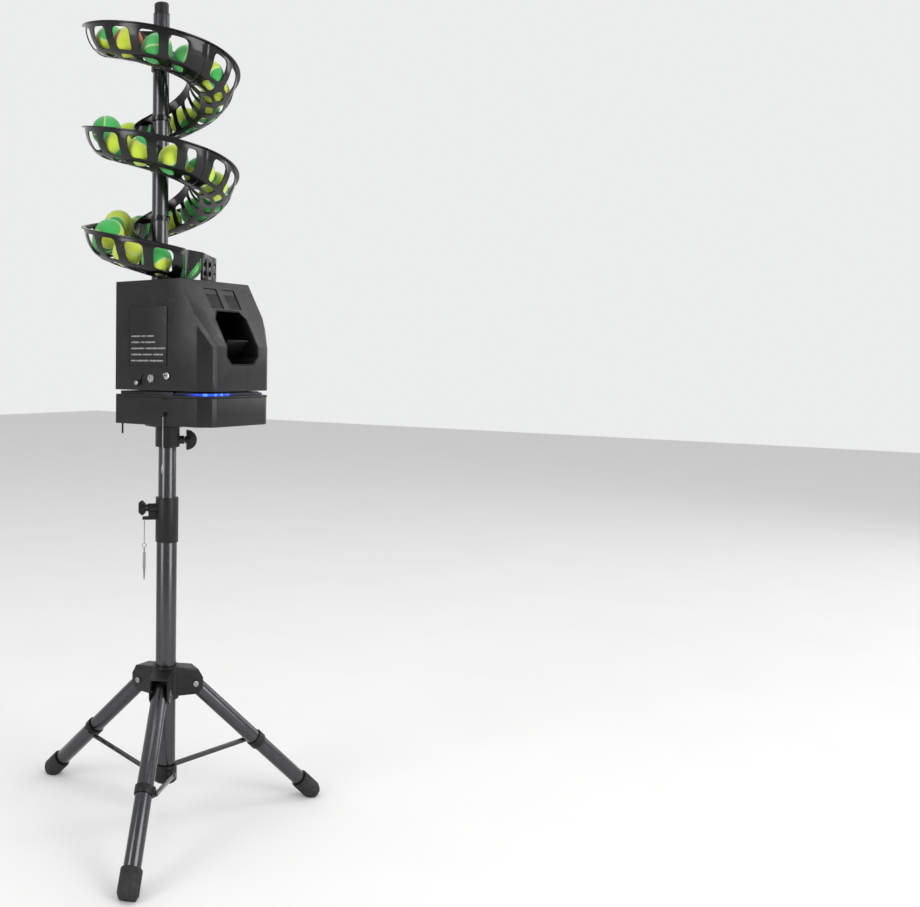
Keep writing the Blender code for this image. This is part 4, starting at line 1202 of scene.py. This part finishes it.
def strip_edges(body, with_slope):
    """Cuts the wide flat bevel between each corner facet and the front and slope."""
    shape = bmesh.new()
    shape.from_mesh(body.data)
    shape.normal_update()
    slope_normal = Vector((0, -(HOUSING_Z[1] - SLOPE_LOW_Z), SLOPE_TOP_Y - PLAN_FRONT)).normalized()
    chosen = []
    for edge in shape.edges:
        if len(edge.link_faces) != 2:
            continue
        one, two = edge.link_faces
        for side in (-1, 1):
            corner = Vector((side, -1, 0)).normalized()
            for face, other in ((one, two), (two, one)):
                onto_front = facing(other, Vector((0, -1, 0)))
                onto_slope = with_slope and facing(other, slope_normal)
                if facing(face, corner) and (onto_front or onto_slope):
                    chosen.append(edge)
    bmesh.ops.bevel(
        shape, geom=list(set(chosen)), offset=STRIP_OFFSET, segments=1, affect="EDGES", profile=0.5
    )
    shape.to_mesh(body.data)
    shape.free()
    return body


def shell_solid(name, inset, low):
    return strip_edges(housing_solid(name, inset, low), True)


def fine_shell():
    """Cover with its bevels, mouth, inlet, recesses, label pocket and front seam."""
    body = shell_solid("fine_housing_shell", 0.0, HOUSING_Z[0])
    soften(body, 0.0012, 2, 12)
    inside = housing_solid("inside", WALL, HOUSING_Z[0] - 0.01)
    inlet = disc("inlet", INLET_R, HOUSING_Z[1] - 0.02, HOUSING_Z[1] + 0.02)
    inlet.data.transform(Matrix.Translation((INLET_CENTRE[0], INLET_CENTRE[1], 0)))
    pole = disc("pole", POLE_R + GAP, HOUSING_Z[1] - 0.02, HOUSING_Z[1] + 0.02)
    pole.data.transform(Matrix.Translation((0, POLE_Y, 0)))
    carve(body, inside, mouth_prism("mouth", 0.0, -0.130), inlet, pole)
    grade = (HOUSING_Z[1] - SLOPE_LOW_Z) / (SLOPE_TOP_Y - PLAN_FRONT)
    depth = RECESS_DEPTH
    low_z, high_z = RECESS_Z
    low_y = PLAN_FRONT + (low_z - SLOPE_LOW_Z) / grade
    high_y = PLAN_FRONT + (high_z - SLOPE_LOW_Z) / grade
    outline = [
        (low_y - 0.01, low_z),
        (low_y + depth, low_z),
        (high_y + depth, high_z),
        (high_y - 0.01, high_z),
    ]
    insert = [
        (low_y + depth - GAP, low_z + RECESS_EDGE),
        (low_y + depth + GAP, low_z + RECESS_EDGE),
        (high_y + depth + GAP, high_z - RECESS_EDGE),
        (high_y + depth - GAP, high_z - RECESS_EDGE),
    ]
    for left, right in ((-RECESS_X[1], -RECESS_X[0]), RECESS_X):
        carve(body, across("recess", outline, left, right))
        panel = across("recess_insert", insert, left + RECESS_EDGE, right - RECESS_EDGE)
        soften(panel, 0)
        finish_piece(panel, "front_bezel", "recess_insert_left" if left < 0 else "recess_insert_right")
    face = -PLAN_HALF_WIDTH
    carve(
        body,
        block(
            "pocket",
            (face - 0.01, face + GROOVE_DEPTH),
            (LABEL_Y[0] - 0.002, LABEL_Y[1] + 0.002),
            (LABEL_Z[0] - 0.002, LABEL_Z[1] + 0.002),
        ),
        block(
            "seam",
            SHELL_SEAM_X,
            (PLAN_FRONT - 0.01, PLAN_FRONT + GROOVE_DEPTH),
            (HOUSING_Z[0] - 0.01, MOUTH_Z[0] + 0.001),
        ),
    )
    return finish_fine(body, "housing_shell", 0.0, 28)


def finish_fine(body, node, width, sharp=32.0):
    """Softens a finer body and lets it take a node's place."""
    soften(body, width, 2, sharp)
    finish_piece(body, node)
    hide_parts(node)
    return body


def fine_base():
    low, high = BASE_Z
    body = strip_edges(prism("fine_base_tub", plan(0.001), low, high), False)
    soften(body, 0.0015, 3, 12)
    carve(body, prism("inside", plan(0.001 + WALL), low + WALL, high + 0.01))
    carve(body, block("notch", (-0.130, -0.1185), (-0.118, -0.092), (high - 0.0042, high + 0.01)))
    finish_fine(body, "base_tub", 0.0, 28)
    deck = prism("fine_base_deck", plan(0.001), *DECK_Z)
    raised = prism("raised", plan(DECK_EDGE_INSET), DECK_Z[0] + 0.001, DECK_Z[1] + DECK_STEP)
    carve(raised, block("front", (-0.2, 0.2), (-0.3, STRIP_END_Y + GAP), (DECK_Z[0], DECK_Z[1] + 0.02)))
    fuse(deck, prism("step", plan(DECK_STEP_INSET), DECK_Z[0] + 0.001, DECK_Z[1] + DECK_STEP), raised)
    carve(deck, disc("well", DECK_WELL_R, DECK_Z[1], DECK_Z[1] + 0.02))
    finish_fine(deck, "base_deck", 0.0008)


def wall_point(degrees):
    """Radius and fall of the trough's section at an angle round it."""
    turn = math.radians(degrees)
    return SPIRAL_MID_R + SPIRAL_HALF_WIDTH * math.cos(turn), -SPIRAL_DEPTH * math.sin(turn)


def skin_point(u, v):
    """Point of the trough's outer skin at plan angle u; v runs from -1 at the lip's edge through degrees."""
    if v < 0:
        radius = SPIRAL_MID_R + SPIRAL_HALF_WIDTH + SPIRAL_LIP * -v
        fall = -SPIRAL_WALL
    else:
        radius, fall = wall_point(v)
        fall = min(fall, -SPIRAL_WALL) if v < 90 else fall
    turn = math.radians(u)
    return radius * math.cos(turn), radius * math.sin(turn) + POLE_Y, rim_height(u) + fall


def window_rows():
    """Rows of the section: (low, high, steps, margin) with a margin where the row holds an opening."""
    return (
        (-1.0, 0.0, 2, None),
        (0.0, 6.0, 1, None),
        (6.0, 54.0, 8, 2.6),
        (54.0, 59.0, 1, None),
        (59.0, 81.0, 4, 1.8),
        (81.0, 86.0, 1, None),
        (86.0, 107.0, 4, 1.8),
        (107.0, 115.0, 2, None),
        (115.0, 162.0, 6, 2.4),
        (162.0, 180.0, 3, None),
    )


def rounded(half_u, half_v, corner, at_u, at_v):
    """Pulls a point on a rectangle's border onto the same border with round corners."""
    inner_u = half_u - corner[0]
    inner_v = half_v - corner[1]
    over_u = abs(at_u) - inner_u
    over_v = abs(at_v) - inner_v
    if over_u <= 0 or over_v <= 0:
        return at_u, at_v
    length = math.hypot(over_u / corner[0], over_v / corner[1])
    return (
        math.copysign(inner_u + over_u / length, at_u),
        math.copysign(inner_v + over_v / length, at_v),
    )


def opening_mesh(add, cell, hole, row, across_steps, down_steps, margin):
    """Quads between a cell's border and the rounded opening inside it."""
    left, right = cell
    low, high = row
    hole_low, hole_high = low + margin, high - margin
    border = []
    for i in range(across_steps):
        border.append((i / across_steps, 0.0))
    for i in range(down_steps):
        border.append((1.0, i / down_steps))
    for i in range(across_steps):
        border.append((1.0 - i / across_steps, 1.0))
    for i in range(down_steps):
        border.append((0.0, 1.0 - i / down_steps))
    middle_u = (hole[0] + hole[1]) / 2
    middle_v = (hole_low + hole_high) / 2
    half_u = (hole[1] - hole[0]) / 2
    half_v = (hole_high - hole_low) / 2
    corner = (half_u * 0.5, half_v * (0.42 if half_v > 15 else 0.8))
    loops = []
    rings = 3
    for k in range(rings + 1):
        part = k / rings
        loop = []
        for s, t in border:
            outer = (left + (right - left) * s, low + (high - low) * t)
            at_u, at_v = rounded(half_u, half_v, corner, (2 * s - 1) * half_u, (2 * t - 1) * half_v)
            inner = (middle_u + at_u, middle_v + at_v)
            loop.append(add(outer[0] + (inner[0] - outer[0]) * part, outer[1] + (inner[1] - outer[1]) * part))
        loops.append(loop)
    faces = []
    count = len(border)
    for one, two in zip(loops, loops[1:]):
        for i in range(count):
            j = (i + 1) % count
            faces.append((one[i], one[j], two[j], two[i]))
    return faces


def fine_trough(number, start, end):
    """One segment of the spiral as a moulded wall with round-cornered openings and its pole clip."""
    step = WINDOW_PERIOD / 3
    columns = round((end - start) / step)
    first = start + SEAM_GAP
    scale = (end - start - 2 * SEAM_GAP) / columns

    def angle(column):
        return first + scale * column

    holes = []
    for column in range(1, columns - 1):
        if column % 3 == 1:
            holes.append((column, min(column + 2, columns - 1)))
    edges = [0.0]
    edges += [(one[1] + two[0]) / 2 for one, two in zip(holes, holes[1:])]
    edges.append(columns)
    points = []

    def add(u, v):
        points.append(skin_point(u, v))
        return len(points) - 1

    faces = []
    across_steps = 12
    for (left, right), hole in zip(zip(edges, edges[1:]), holes):
        for low, high, down_steps, margin in window_rows():
            if margin is not None:
                cell = (angle(left), angle(right))
                opening = (angle(hole[0]), angle(hole[1]))
                faces += opening_mesh(add, cell, opening, (low, high), across_steps, down_steps, margin)
                continue
            grid = []
            for i in range(across_steps + 1):
                u = angle(left + (right - left) * i / across_steps)
                grid.append([add(u, low + (high - low) * j / down_steps) for j in range(down_steps + 1)])
            for i in range(across_steps):
                for j in range(down_steps):
                    faces.append((grid[i][j], grid[i + 1][j], grid[i + 1][j + 1], grid[i][j + 1]))
    mesh = bpy.data.meshes.new("fine_trough")
    mesh.from_pydata(points, [], faces)
    shape = bmesh.new()
    shape.from_mesh(mesh)
    bmesh.ops.remove_doubles(shape, verts=shape.verts, dist=0.00002)
    bmesh.ops.recalc_face_normals(shape, faces=shape.faces)
    probe = min(shape.faces, key=lambda face: face.calc_center_median().z)
    if probe.normal.z > 0:
        bmesh.ops.reverse_faces(shape, faces=shape.faces)
    shape.to_mesh(mesh)
    shape.free()
    body = bpy.data.objects.new("fine_trough_" + str(number), mesh)
    bpy.context.scene.collection.objects.link(body)
    shell = body.modifiers.new("wall", "SOLIDIFY")
    shell.thickness = SPIRAL_WALL
    shell.offset = -1.0
    shell.use_even_offset = True
    baked(body)
    if rim_height(end) - SPIRAL_DEPTH < HOUSING_Z[1]:
        carve(body, block("housing_top", (-0.2, 0.2), (-0.2, 0.2), (HOUSING_Z[0], HOUSING_Z[1] + GAP)))
    clip = pole_clip(start)
    clip.data.transform(Matrix.Translation((0, POLE_Y, 0)))
    soften(clip, 0.0005)
    soften(body, 0.0007, 2, 50)
    join([body, clip])
    finish_piece(body, "trough_" + str(number))
    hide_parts("trough_" + str(number))


def join(bodies):
    """Adds the later bodies' meshes to the first one's."""
    shape = bmesh.new()
    for body in bodies:
        shape.from_mesh(body.data)
    shape.to_mesh(bodies[0].data)
    shape.free()
    for body in bodies[1:]:
        bpy.data.objects.remove(body, do_unlink=True)
    return bodies[0]


def loop_link(name, long_half, short_half, wire):
    """One oval wire link that lies in the XZ plane, centred on the origin."""
    points = []
    around, section = 28, 8
    for i in range(around):
        turn = 2 * math.pi * i / around
        straight = long_half - short_half
        x = short_half * math.cos(turn)
        z = short_half * math.sin(turn) + math.copysign(straight, math.sin(turn))
        outward = Vector((math.cos(turn), 0, math.sin(turn)))
        for j in range(section):
            twist = 2 * math.pi * j / section
            sideways = Vector((0, wire * math.sin(twist), 0))
            points.append(Vector((x, 0, z)) + outward * wire * math.cos(twist) + sideways)
    faces = []
    for i in range(around):
        for j in range(section):
            k, m = (i + 1) % around, (j + 1) % section
            faces.append((i * section + j, k * section + j, k * section + m, i * section + m))
    return make_body(name, points, faces)


def fine_chain():
    """Oval links from the collar's eye to the ring that holds the pin."""
    top = CHAIN_Z[1]
    low = CHAIN_Z[0]
    wire = 0.00048
    long_half, short_half = 0.0027, 0.00155
    pitch = 2 * (long_half - wire) - 0.0002
    count = int((top - low) / pitch)
    links = []
    for i in range(count):
        link = loop_link("link", long_half - wire, short_half - wire, wire)
        twist = Matrix.Rotation(math.radians(90 * (i % 2) + 20), 4, "Z")
        link.data.transform(Matrix.Translation((0, 0, top - long_half - pitch * i)) @ twist)
        links.append(link)
    ring_piece = loop_link("ring", TETHER_RING_R - 0.0008, TETHER_RING_R - 0.0008, 0.0008)
    ring_piece.data.transform(Matrix.Translation((0, 0, low - TETHER_RING_R)))
    links.append(ring_piece)
    body = join(links)
    body.data.transform(Matrix.Translation((CHAIN_REACH, 0, 0)))
    aim(body, COLLAR_ANGLE)
    return finish_fine(body, "chain", 0.0, 60)


def text_rule_lengths():
    """Lengths of the dashes in each printed rule."""
    return (
        (0.026, 0.010, 0.022),
        (0.024, 0.009, 0.027),
        (0.038, 0.057),
        (0.030, 0.026, 0.028),
        (0.012, 0.034, 0.038),
    )


def fine_label():
    """Dark film with printed rows of plain short strokes."""
    make_label_plate()
    plate = newest("label_plate")
    soften(plate, 0.0004)
    finish_piece(plate, "label_plate")
    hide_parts("label_plate")
    face = -PLAN_HALF_WIDTH - GAP - LABEL_THICK
    points = []
    faces = []
    bottom_z, top_z = LABEL_Z
    for row, words in enumerate(text_rule_lengths()):
        z = top_z + (bottom_z - top_z) * (0.50 + 0.105 * row)
        y = 0.0010
        for word in words:
            run = 0.0
            while run < word:
                tall = 0.0018 if int(run * 7000) % 3 else 0.0014
                first = len(points)
                for dy, dz in ((0, -tall), (0.00135, -tall), (0.00135, tall), (0, tall)):
                    points.append((face - 0.00008, y - run - dy, z + dz))
                faces.append((first, first + 1, first + 2, first + 3))
                run += 0.0022
            y -= word + 0.004
    rules = make_body("label_rules", points, faces)
    rules.data.transform(Matrix.Translation((0, MAST_Y, 0)))
    rules.data.materials.append(printed_ink())
    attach(rules, "housing")
    return rules


def printed_ink():
    material, tree, shader, place = new_material("printed_ink")
    worn = spread(tree, noise(tree, place, 700.0, 4.0), 0.0, 1.0)
    base = blend_colours(tree, worn, (0.24, 0.24, 0.235), (0.48, 0.48, 0.47))
    tree.links.new(base, shader.inputs["Base Color"])
    shader.inputs["Roughness"].default_value = 0.6
    return material


def side_rod(name, centre, out, inward, radius, steps):
    """A rod square to the label's side, from one distance out of the wall to another."""
    face = -PLAN_HALF_WIDTH - GAP
    y, z = centre
    return rod(name, (face - out, y, z), (face - inward, y, z), radius, steps)


def ring_of_rods(name, centre, reach, count, out, inward, radius, steps):
    """Rods in a circle round a point on the label's side."""
    rods = []
    for i in range(count):
        turn = 2 * math.pi * i / count
        place = (centre[0] + reach * math.cos(turn), centre[1] + reach * math.sin(turn))
        rods.append(side_rod(name, place, out, inward, radius, steps))
    return rods


def fine_charge_socket():
    """Chrome nut with a pin in its middle."""
    nut = side_rod("fine_charge_socket", SOCKET_PLACE, 0.004, 0, 0.0085, 48)
    carve(nut, side_rod("hole", SOCKET_PLACE, 0.010, 0.0010, 0.0052, 48))
    carve(nut, *ring_of_rods("flat", SOCKET_PLACE, 0.0092, 12, 0.006, 0.001, 0.0014, 12))
    finish_fine(nut, "charge_socket", 0.0003)
    pin = side_rod("socket_pin", SOCKET_PLACE, 0.0034, 0.0008, 0.0013, 24)
    soften(pin, 0.0003)
    finish_piece(pin, "charge_socket", "socket_pin")


def fine_dust_cap():
    """Fluted cap on its strap, with a chrome button."""
    cap = side_rod("fine_dust_cap", CAP_PLACE, 0.007, 0.0008, 0.0062, 48)
    carve(cap, *ring_of_rods("flute", CAP_PLACE, 0.0066, 16, 0.008, 0.0016, 0.0008, 8))
    soften(cap, 0.0004)
    face = -PLAN_HALF_WIDTH - GAP
    strap = block("strap", (face - 0.0026, face - 0.0010), (-0.0016, 0.0016), (-0.001, 0.022))
    swing = Matrix.Rotation(math.radians(STRAP_LEAN), 4, "X")
    strap.data.transform(Matrix.Translation((0, *CAP_PLACE)) @ swing)
    soften(strap, 0.0005)
    join([cap, strap])
    finish_piece(cap, "dust_cap")
    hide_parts("dust_cap")
    button = side_rod("cap_button", CAP_PLACE, 0.0086, 0.0068, 0.0046, 48)
    soften(button, 0.0006)
    finish_piece(button, "dust_cap", "cap_button")
    button.data.materials[0] = finishes["chrome"]


def fine_power_switch():
    """Chrome nut with a short toggle."""
    nut = side_rod("fine_power_switch", SWITCH_PLACE, 0.005, 0, 0.0075, 48)
    soften(nut, 0.0006)
    face = -PLAN_HALF_WIDTH - GAP
    y, z = SWITCH_PLACE
    lever = rod("lever", (face - 0.003, y, z), (face - 0.0138, y, z + 0.0036), 0.0021, 32)
    soften(lever, 0.0009, 3)
    join([nut, lever])
    finish_piece(nut, "power_switch")
    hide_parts("power_switch")


# ---------------------------------------------------------------- balls


def seam_curve(steps):
    """Points of a ball's seam on the unit sphere."""
    a, b = 0.75, 0.25
    turns = np.linspace(0, 2 * math.pi, steps, endpoint=False)
    x = a * np.cos(turns) + b * np.cos(3 * turns)
    y = a * np.sin(turns) - b * np.sin(3 * turns)
    z = 2 * math.sqrt(a * b) * np.sin(2 * turns)
    return np.stack([x, y, z], 1)


def ball_mesh(name):
    """Felt ball with its seam pressed in; attributes tell the seam and the two halves of the cover."""
    mesh = bpy.data.meshes.new(name)
    shape = bmesh.new()
    bmesh.ops.create_icosphere(shape, subdivisions=BALL_LEVELS, radius=1.0)
    shape.to_mesh(mesh)
    shape.free()
    flat = np.zeros(len(mesh.vertices) * 3)
    mesh.vertices.foreach_get("co", flat)
    unit = flat.reshape(-1, 3)
    unit /= np.linalg.norm(unit, axis=1)[:, None]
    seam = seam_curve(360)
    ahead = np.roll(seam, -1, 0) - seam
    closeness = unit @ seam.T
    nearest = closeness.argmax(1)
    distance = np.arccos(np.clip(closeness.max(1), -1, 1))
    cross = np.cross(ahead[nearest], unit - seam[nearest])
    side = np.sign((cross * unit).sum(1))
    line = np.clip(1.0 - (distance - SEAM_HALF) / SEAM_FADE, 0, 1)
    radius = BALL_R * (1.0 - SEAM_DENT * np.clip(1.0 - distance / SEAM_REACH, 0, 1) ** 2)
    mesh.vertices.foreach_set("co", (unit * radius[:, None]).ravel())
    one = mesh.attributes.new("seam_side", "FLOAT", "POINT")
    one.data.foreach_set("value", np.clip(0.5 + side * distance / 0.02, 0, 1).astype(np.float32))
    two = mesh.attributes.new("seam_line", "FLOAT", "POINT")
    two.data.foreach_set("value", line.astype(np.float32))
    mesh.shade_smooth()
    return mesh


def place_balls():
    """Balls queued down the spiral, and a few that ride on top of the others."""
    mesh = ball_mesh("ball")
    felts = (
        ball_felt("felt_yellow_green", (0.60, 0.76, 0.06), (0.06, 0.48, 0.10)),
        ball_felt("felt_yellow", (0.66, 0.76, 0.08), (0.58, 0.72, 0.07)),
        ball_felt("felt_green", (0.08, 0.50, 0.12), (0.06, 0.42, 0.09)),
        ball_felt("felt_orange", (0.62, 0.72, 0.06), (0.50, 0.10, 0.02)),
    )
    variants = []
    for index, felt in enumerate(felts):
        copy = mesh.copy()
        copy.name = "ball_" + str(index)
        copy.materials.append(felt)
        variants.append(copy)
    order = np.random.default_rng(BALL_SEED)
    last_angle = SPIRAL_SEAMS[-1] + LAST_BALL_TURN
    spots = [(last_angle, BALL_REACH, HOUSING_Z[1] + BALL_R + 0.001)]
    angle = last_angle - BALL_STEP
    raised = False
    while angle > SPIRAL_START + 8.0:
        piled = any(low < angle < high for low, high in PILED_ANGLES)
        raised = piled and not raised
        lift = PILED_LIFT if raised else 0.0
        spots.append((angle, BALL_REACH, rim_height(angle) - BALL_DROP + lift))
        angle -= PILED_STEP if piled else BALL_STEP
    for index, (angle, radius, height) in enumerate(spots):
        turn = math.radians(angle)
        kind = int(order.choice([0, 0, 0, 1, 1, 2]))
        if index == 0:
            kind = 2
        elif index == len(spots) - 2:
            kind = 3
        ball = bpy.data.objects.new("ball_" + str(index + 1), variants[kind])
        bpy.context.scene.collection.objects.link(ball)
        ball.location = (radius * math.cos(turn), radius * math.sin(turn) + POLE_Y + MAST_Y, height)
        ball.rotation_euler = order.uniform(0, 2 * math.pi, 3)
        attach(ball, "housing")


# ---------------------------------------------------------------- camera, light and floor


def place_camera():
    """Camera at the object's left front, a little above its middle."""
    camera_data = bpy.data.cameras.new("camera")
    camera_data.sensor_width = 36.0
    camera_data.lens = FOCAL_LENGTH
    camera_data.shift_x = SHIFT_X
    camera_data.shift_y = SHIFT_Y
    camera_data.clip_start = 0.05
    camera_data.clip_end = 100.0
    camera = bpy.data.objects.new("camera", camera_data)
    bpy.context.scene.collection.objects.link(camera)
    yaw, pitch, roll = (math.radians(a) for a in CAMERA_TURN)
    forward = Vector((-math.sin(yaw) * math.cos(pitch), math.cos(yaw) * math.cos(pitch), math.sin(pitch)))
    right = Vector((math.cos(yaw), math.sin(yaw), 0))
    up = right.cross(forward)
    level_right = right
    right = math.cos(roll) * level_right + math.sin(roll) * up
    up = math.cos(roll) * up - math.sin(roll) * level_right
    pose = Matrix((right, up, -forward)).transposed().to_4x4()
    pose.translation = CAMERA_PLACE
    camera.matrix_world = pose
    bpy.context.scene.camera = camera


def lamp(name, place, target, size, energy):
    """Rectangular soft lamp."""
    data = bpy.data.lights.new(name, "AREA")
    data.shape = "RECTANGLE"
    data.size, data.size_y = size
    data.energy = energy
    light = bpy.data.objects.new(name, data)
    bpy.context.scene.collection.objects.link(light)
    light.location = place
    light.rotation_mode = "QUATERNION"
    light.rotation_quaternion = (Vector(target) - Vector(place)).to_track_quat("-Z", "Y")
    return light


def light_studio():
    world = bpy.data.worlds.new("studio")
    world.use_nodes = True
    tree = world.node_tree
    background = tree.nodes["Background"]
    background.inputs["Color"].default_value = WORLD_COLOUR
    place = tree.nodes.new("ShaderNodeTexCoord")
    toward = tree.nodes.new("ShaderNodeVectorMath")
    toward.operation = "DOT_PRODUCT"
    toward.inputs[1].default_value = BACKDROP
    tree.links.new(place.outputs["Generated"], toward.inputs[0])
    fade = tree.nodes.new("ShaderNodeMapRange")
    fade.interpolation_type = "SMOOTHSTEP"
    fade.inputs["From Min"].default_value, fade.inputs["From Max"].default_value = WORLD_FADE
    fade.inputs["To Min"].default_value = WORLD_DIM
    fade.inputs["To Max"].default_value = WORLD_BRIGHT
    tree.links.new(toward.outputs["Value"], fade.inputs["Value"])
    tree.links.new(fade.outputs["Result"], background.inputs["Strength"])
    bpy.context.scene.world = world
    bpy.context.scene.view_settings.view_transform = "Standard"
    for name, place, target, size, energy in LAMPS:
        lamp(name, place, target, size, energy)


def lay_floor():
    half = FLOOR_HALF
    corners = [(x, y, FLOOR_Z) for x, y in ((-half, -half), (half, -half), (half, half), (-half, half))]
    floor = make_body("floor", corners, [(0, 1, 2, 3)])
    floor.data.materials.append(floor_material())


# ---------------------------------------------------------------- assembly


def hang_cord():
    """The thin cord beside the neck, as a tube along its own path, with its bead."""
    top = CORD_Z[1]
    low = CORD_Z[0] + 0.014
    steps = 40
    path = []
    for i in range(steps + 1):
        part = i / steps
        x = CORD_X + 0.0006 * math.sin(part * 9.0)
        y = CORD_Y + MAST_Y + 0.0005 * math.sin(part * 7.0)
        path.append((x, y, top + (low - top) * part))
    sides = 10
    points = []
    for x, y, z in path:
        for j in range(sides):
            turn = 2 * math.pi * j / sides
            points.append((x + CORD_R * math.cos(turn), y + CORD_R * math.sin(turn), z))
    faces = [tuple(range(sides)), tuple(range(len(points) - sides, len(points)))]
    for i in range(steps):
        for j in range(sides):
            k = (j + 1) % sides
            faces.append((i * sides + j, i * sides + k, (i + 1) * sides + k, (i + 1) * sides + j))
    tube = make_body("fine_pull_cord", points, faces)
    tube.data.materials.append(finishes[slots["pull_cord"]])
    tube.data.shade_smooth()
    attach(tube, "head_base")
    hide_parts("pull_cord")
    profile = [(radius, CORD_Z[0] + height) for radius, height in BEAD_PROFILE]
    bead = turned("cord_bead", profile, 32)
    bead.data.transform(Matrix.Translation((path[-1][0], CORD_Y, 0)))
    soften(bead, 0)
    finish_piece(bead, "pull_cord", "cord_bead")
    length = sum((Vector(b) - Vector(a)).length for a, b in zip(path, path[1:]))
    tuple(path[0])


def dress_stand():
    for make, node, width in (
        (make_outer_tube, "outer_tube", 0.0005),
        (make_inner_tube, "inner_tube", 0.0004),
        (make_brace_collar, "brace_collar", 0.0008),
        (make_height_collar, "height_collar", 0.0008),
        (make_height_knob, "height_knob", 0.0009),
        (make_lock_pin, "lock_pin", 0.0003),
        (make_leg_hub, "leg_hub", 0.0008),
        (make_hub_knob, "hub_knob", 0.0007),
    ):
        make()
        dress(node, width)
    fine_chain()
    for place, angle in LEG_ANGLES.items():
        make_hub_pin(place, angle)
        dress("hub_pin_" + place, 0.0006)
        make_leg(place, angle)
        dress("leg_tube_" + place, 0.0004)
        make_foot(place, angle)
        dress("foot_" + place, 0.0012)
        make_clip(place, angle)
        dress("leg_clip_" + place, 0.0007)
        make_brace(place, angle)
        dress("brace_" + place, 0.0006)


def dress_head():
    for make, node, width in (
        (make_neck_socket, "neck_socket", 0.0007),
        (make_neck_knob, "neck_knob", 0.0009),
        (make_light_strip, "light_strip", 0.0004),
        (make_front_bezel, "front_bezel", 0.0004),
        (make_throw_arm, "throw_arm", 0.0005),
        (make_launch_ramp, "launch_ramp", 0.0006),
        (make_ball_pole, "ball_pole", 0.0005),
        (make_pole_cap, "pole_cap", 0.0005),
        (make_end_guard, "end_guard", 0.0006),
    ):
        make()
        dress(node, width)
    fine_base()
    fine_shell()
    fine_label()
    fine_charge_socket()
    fine_dust_cap()
    fine_power_switch()
    for index in range(len(SPIRAL_SEAMS) - 1):
        fine_trough(index + 1, SPIRAL_SEAMS[index], SPIRAL_SEAMS[index + 1])


def dress_carried():
    """Gives each CAD node that is still shown its finish."""
    for node, piece in frame["nodes"].items():
        if piece.hide_render:
            continue
        piece.data.materials.clear()
        piece.data.materials.append(finishes[slots[node]])
        piece.data.shade_smooth()
        piece.data.set_sharp_from_angle(angle=math.radians(30))


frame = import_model()
slots = {part["node"]: part["material_slot"] for part in frame["record"]["subparts"]}
owners = body_of_node()
place_camera()
finishes = make_materials()
hang_cord()
dress_stand()
dress_head()
dress_carried()
place_balls()
light_studio()
lay_floor()
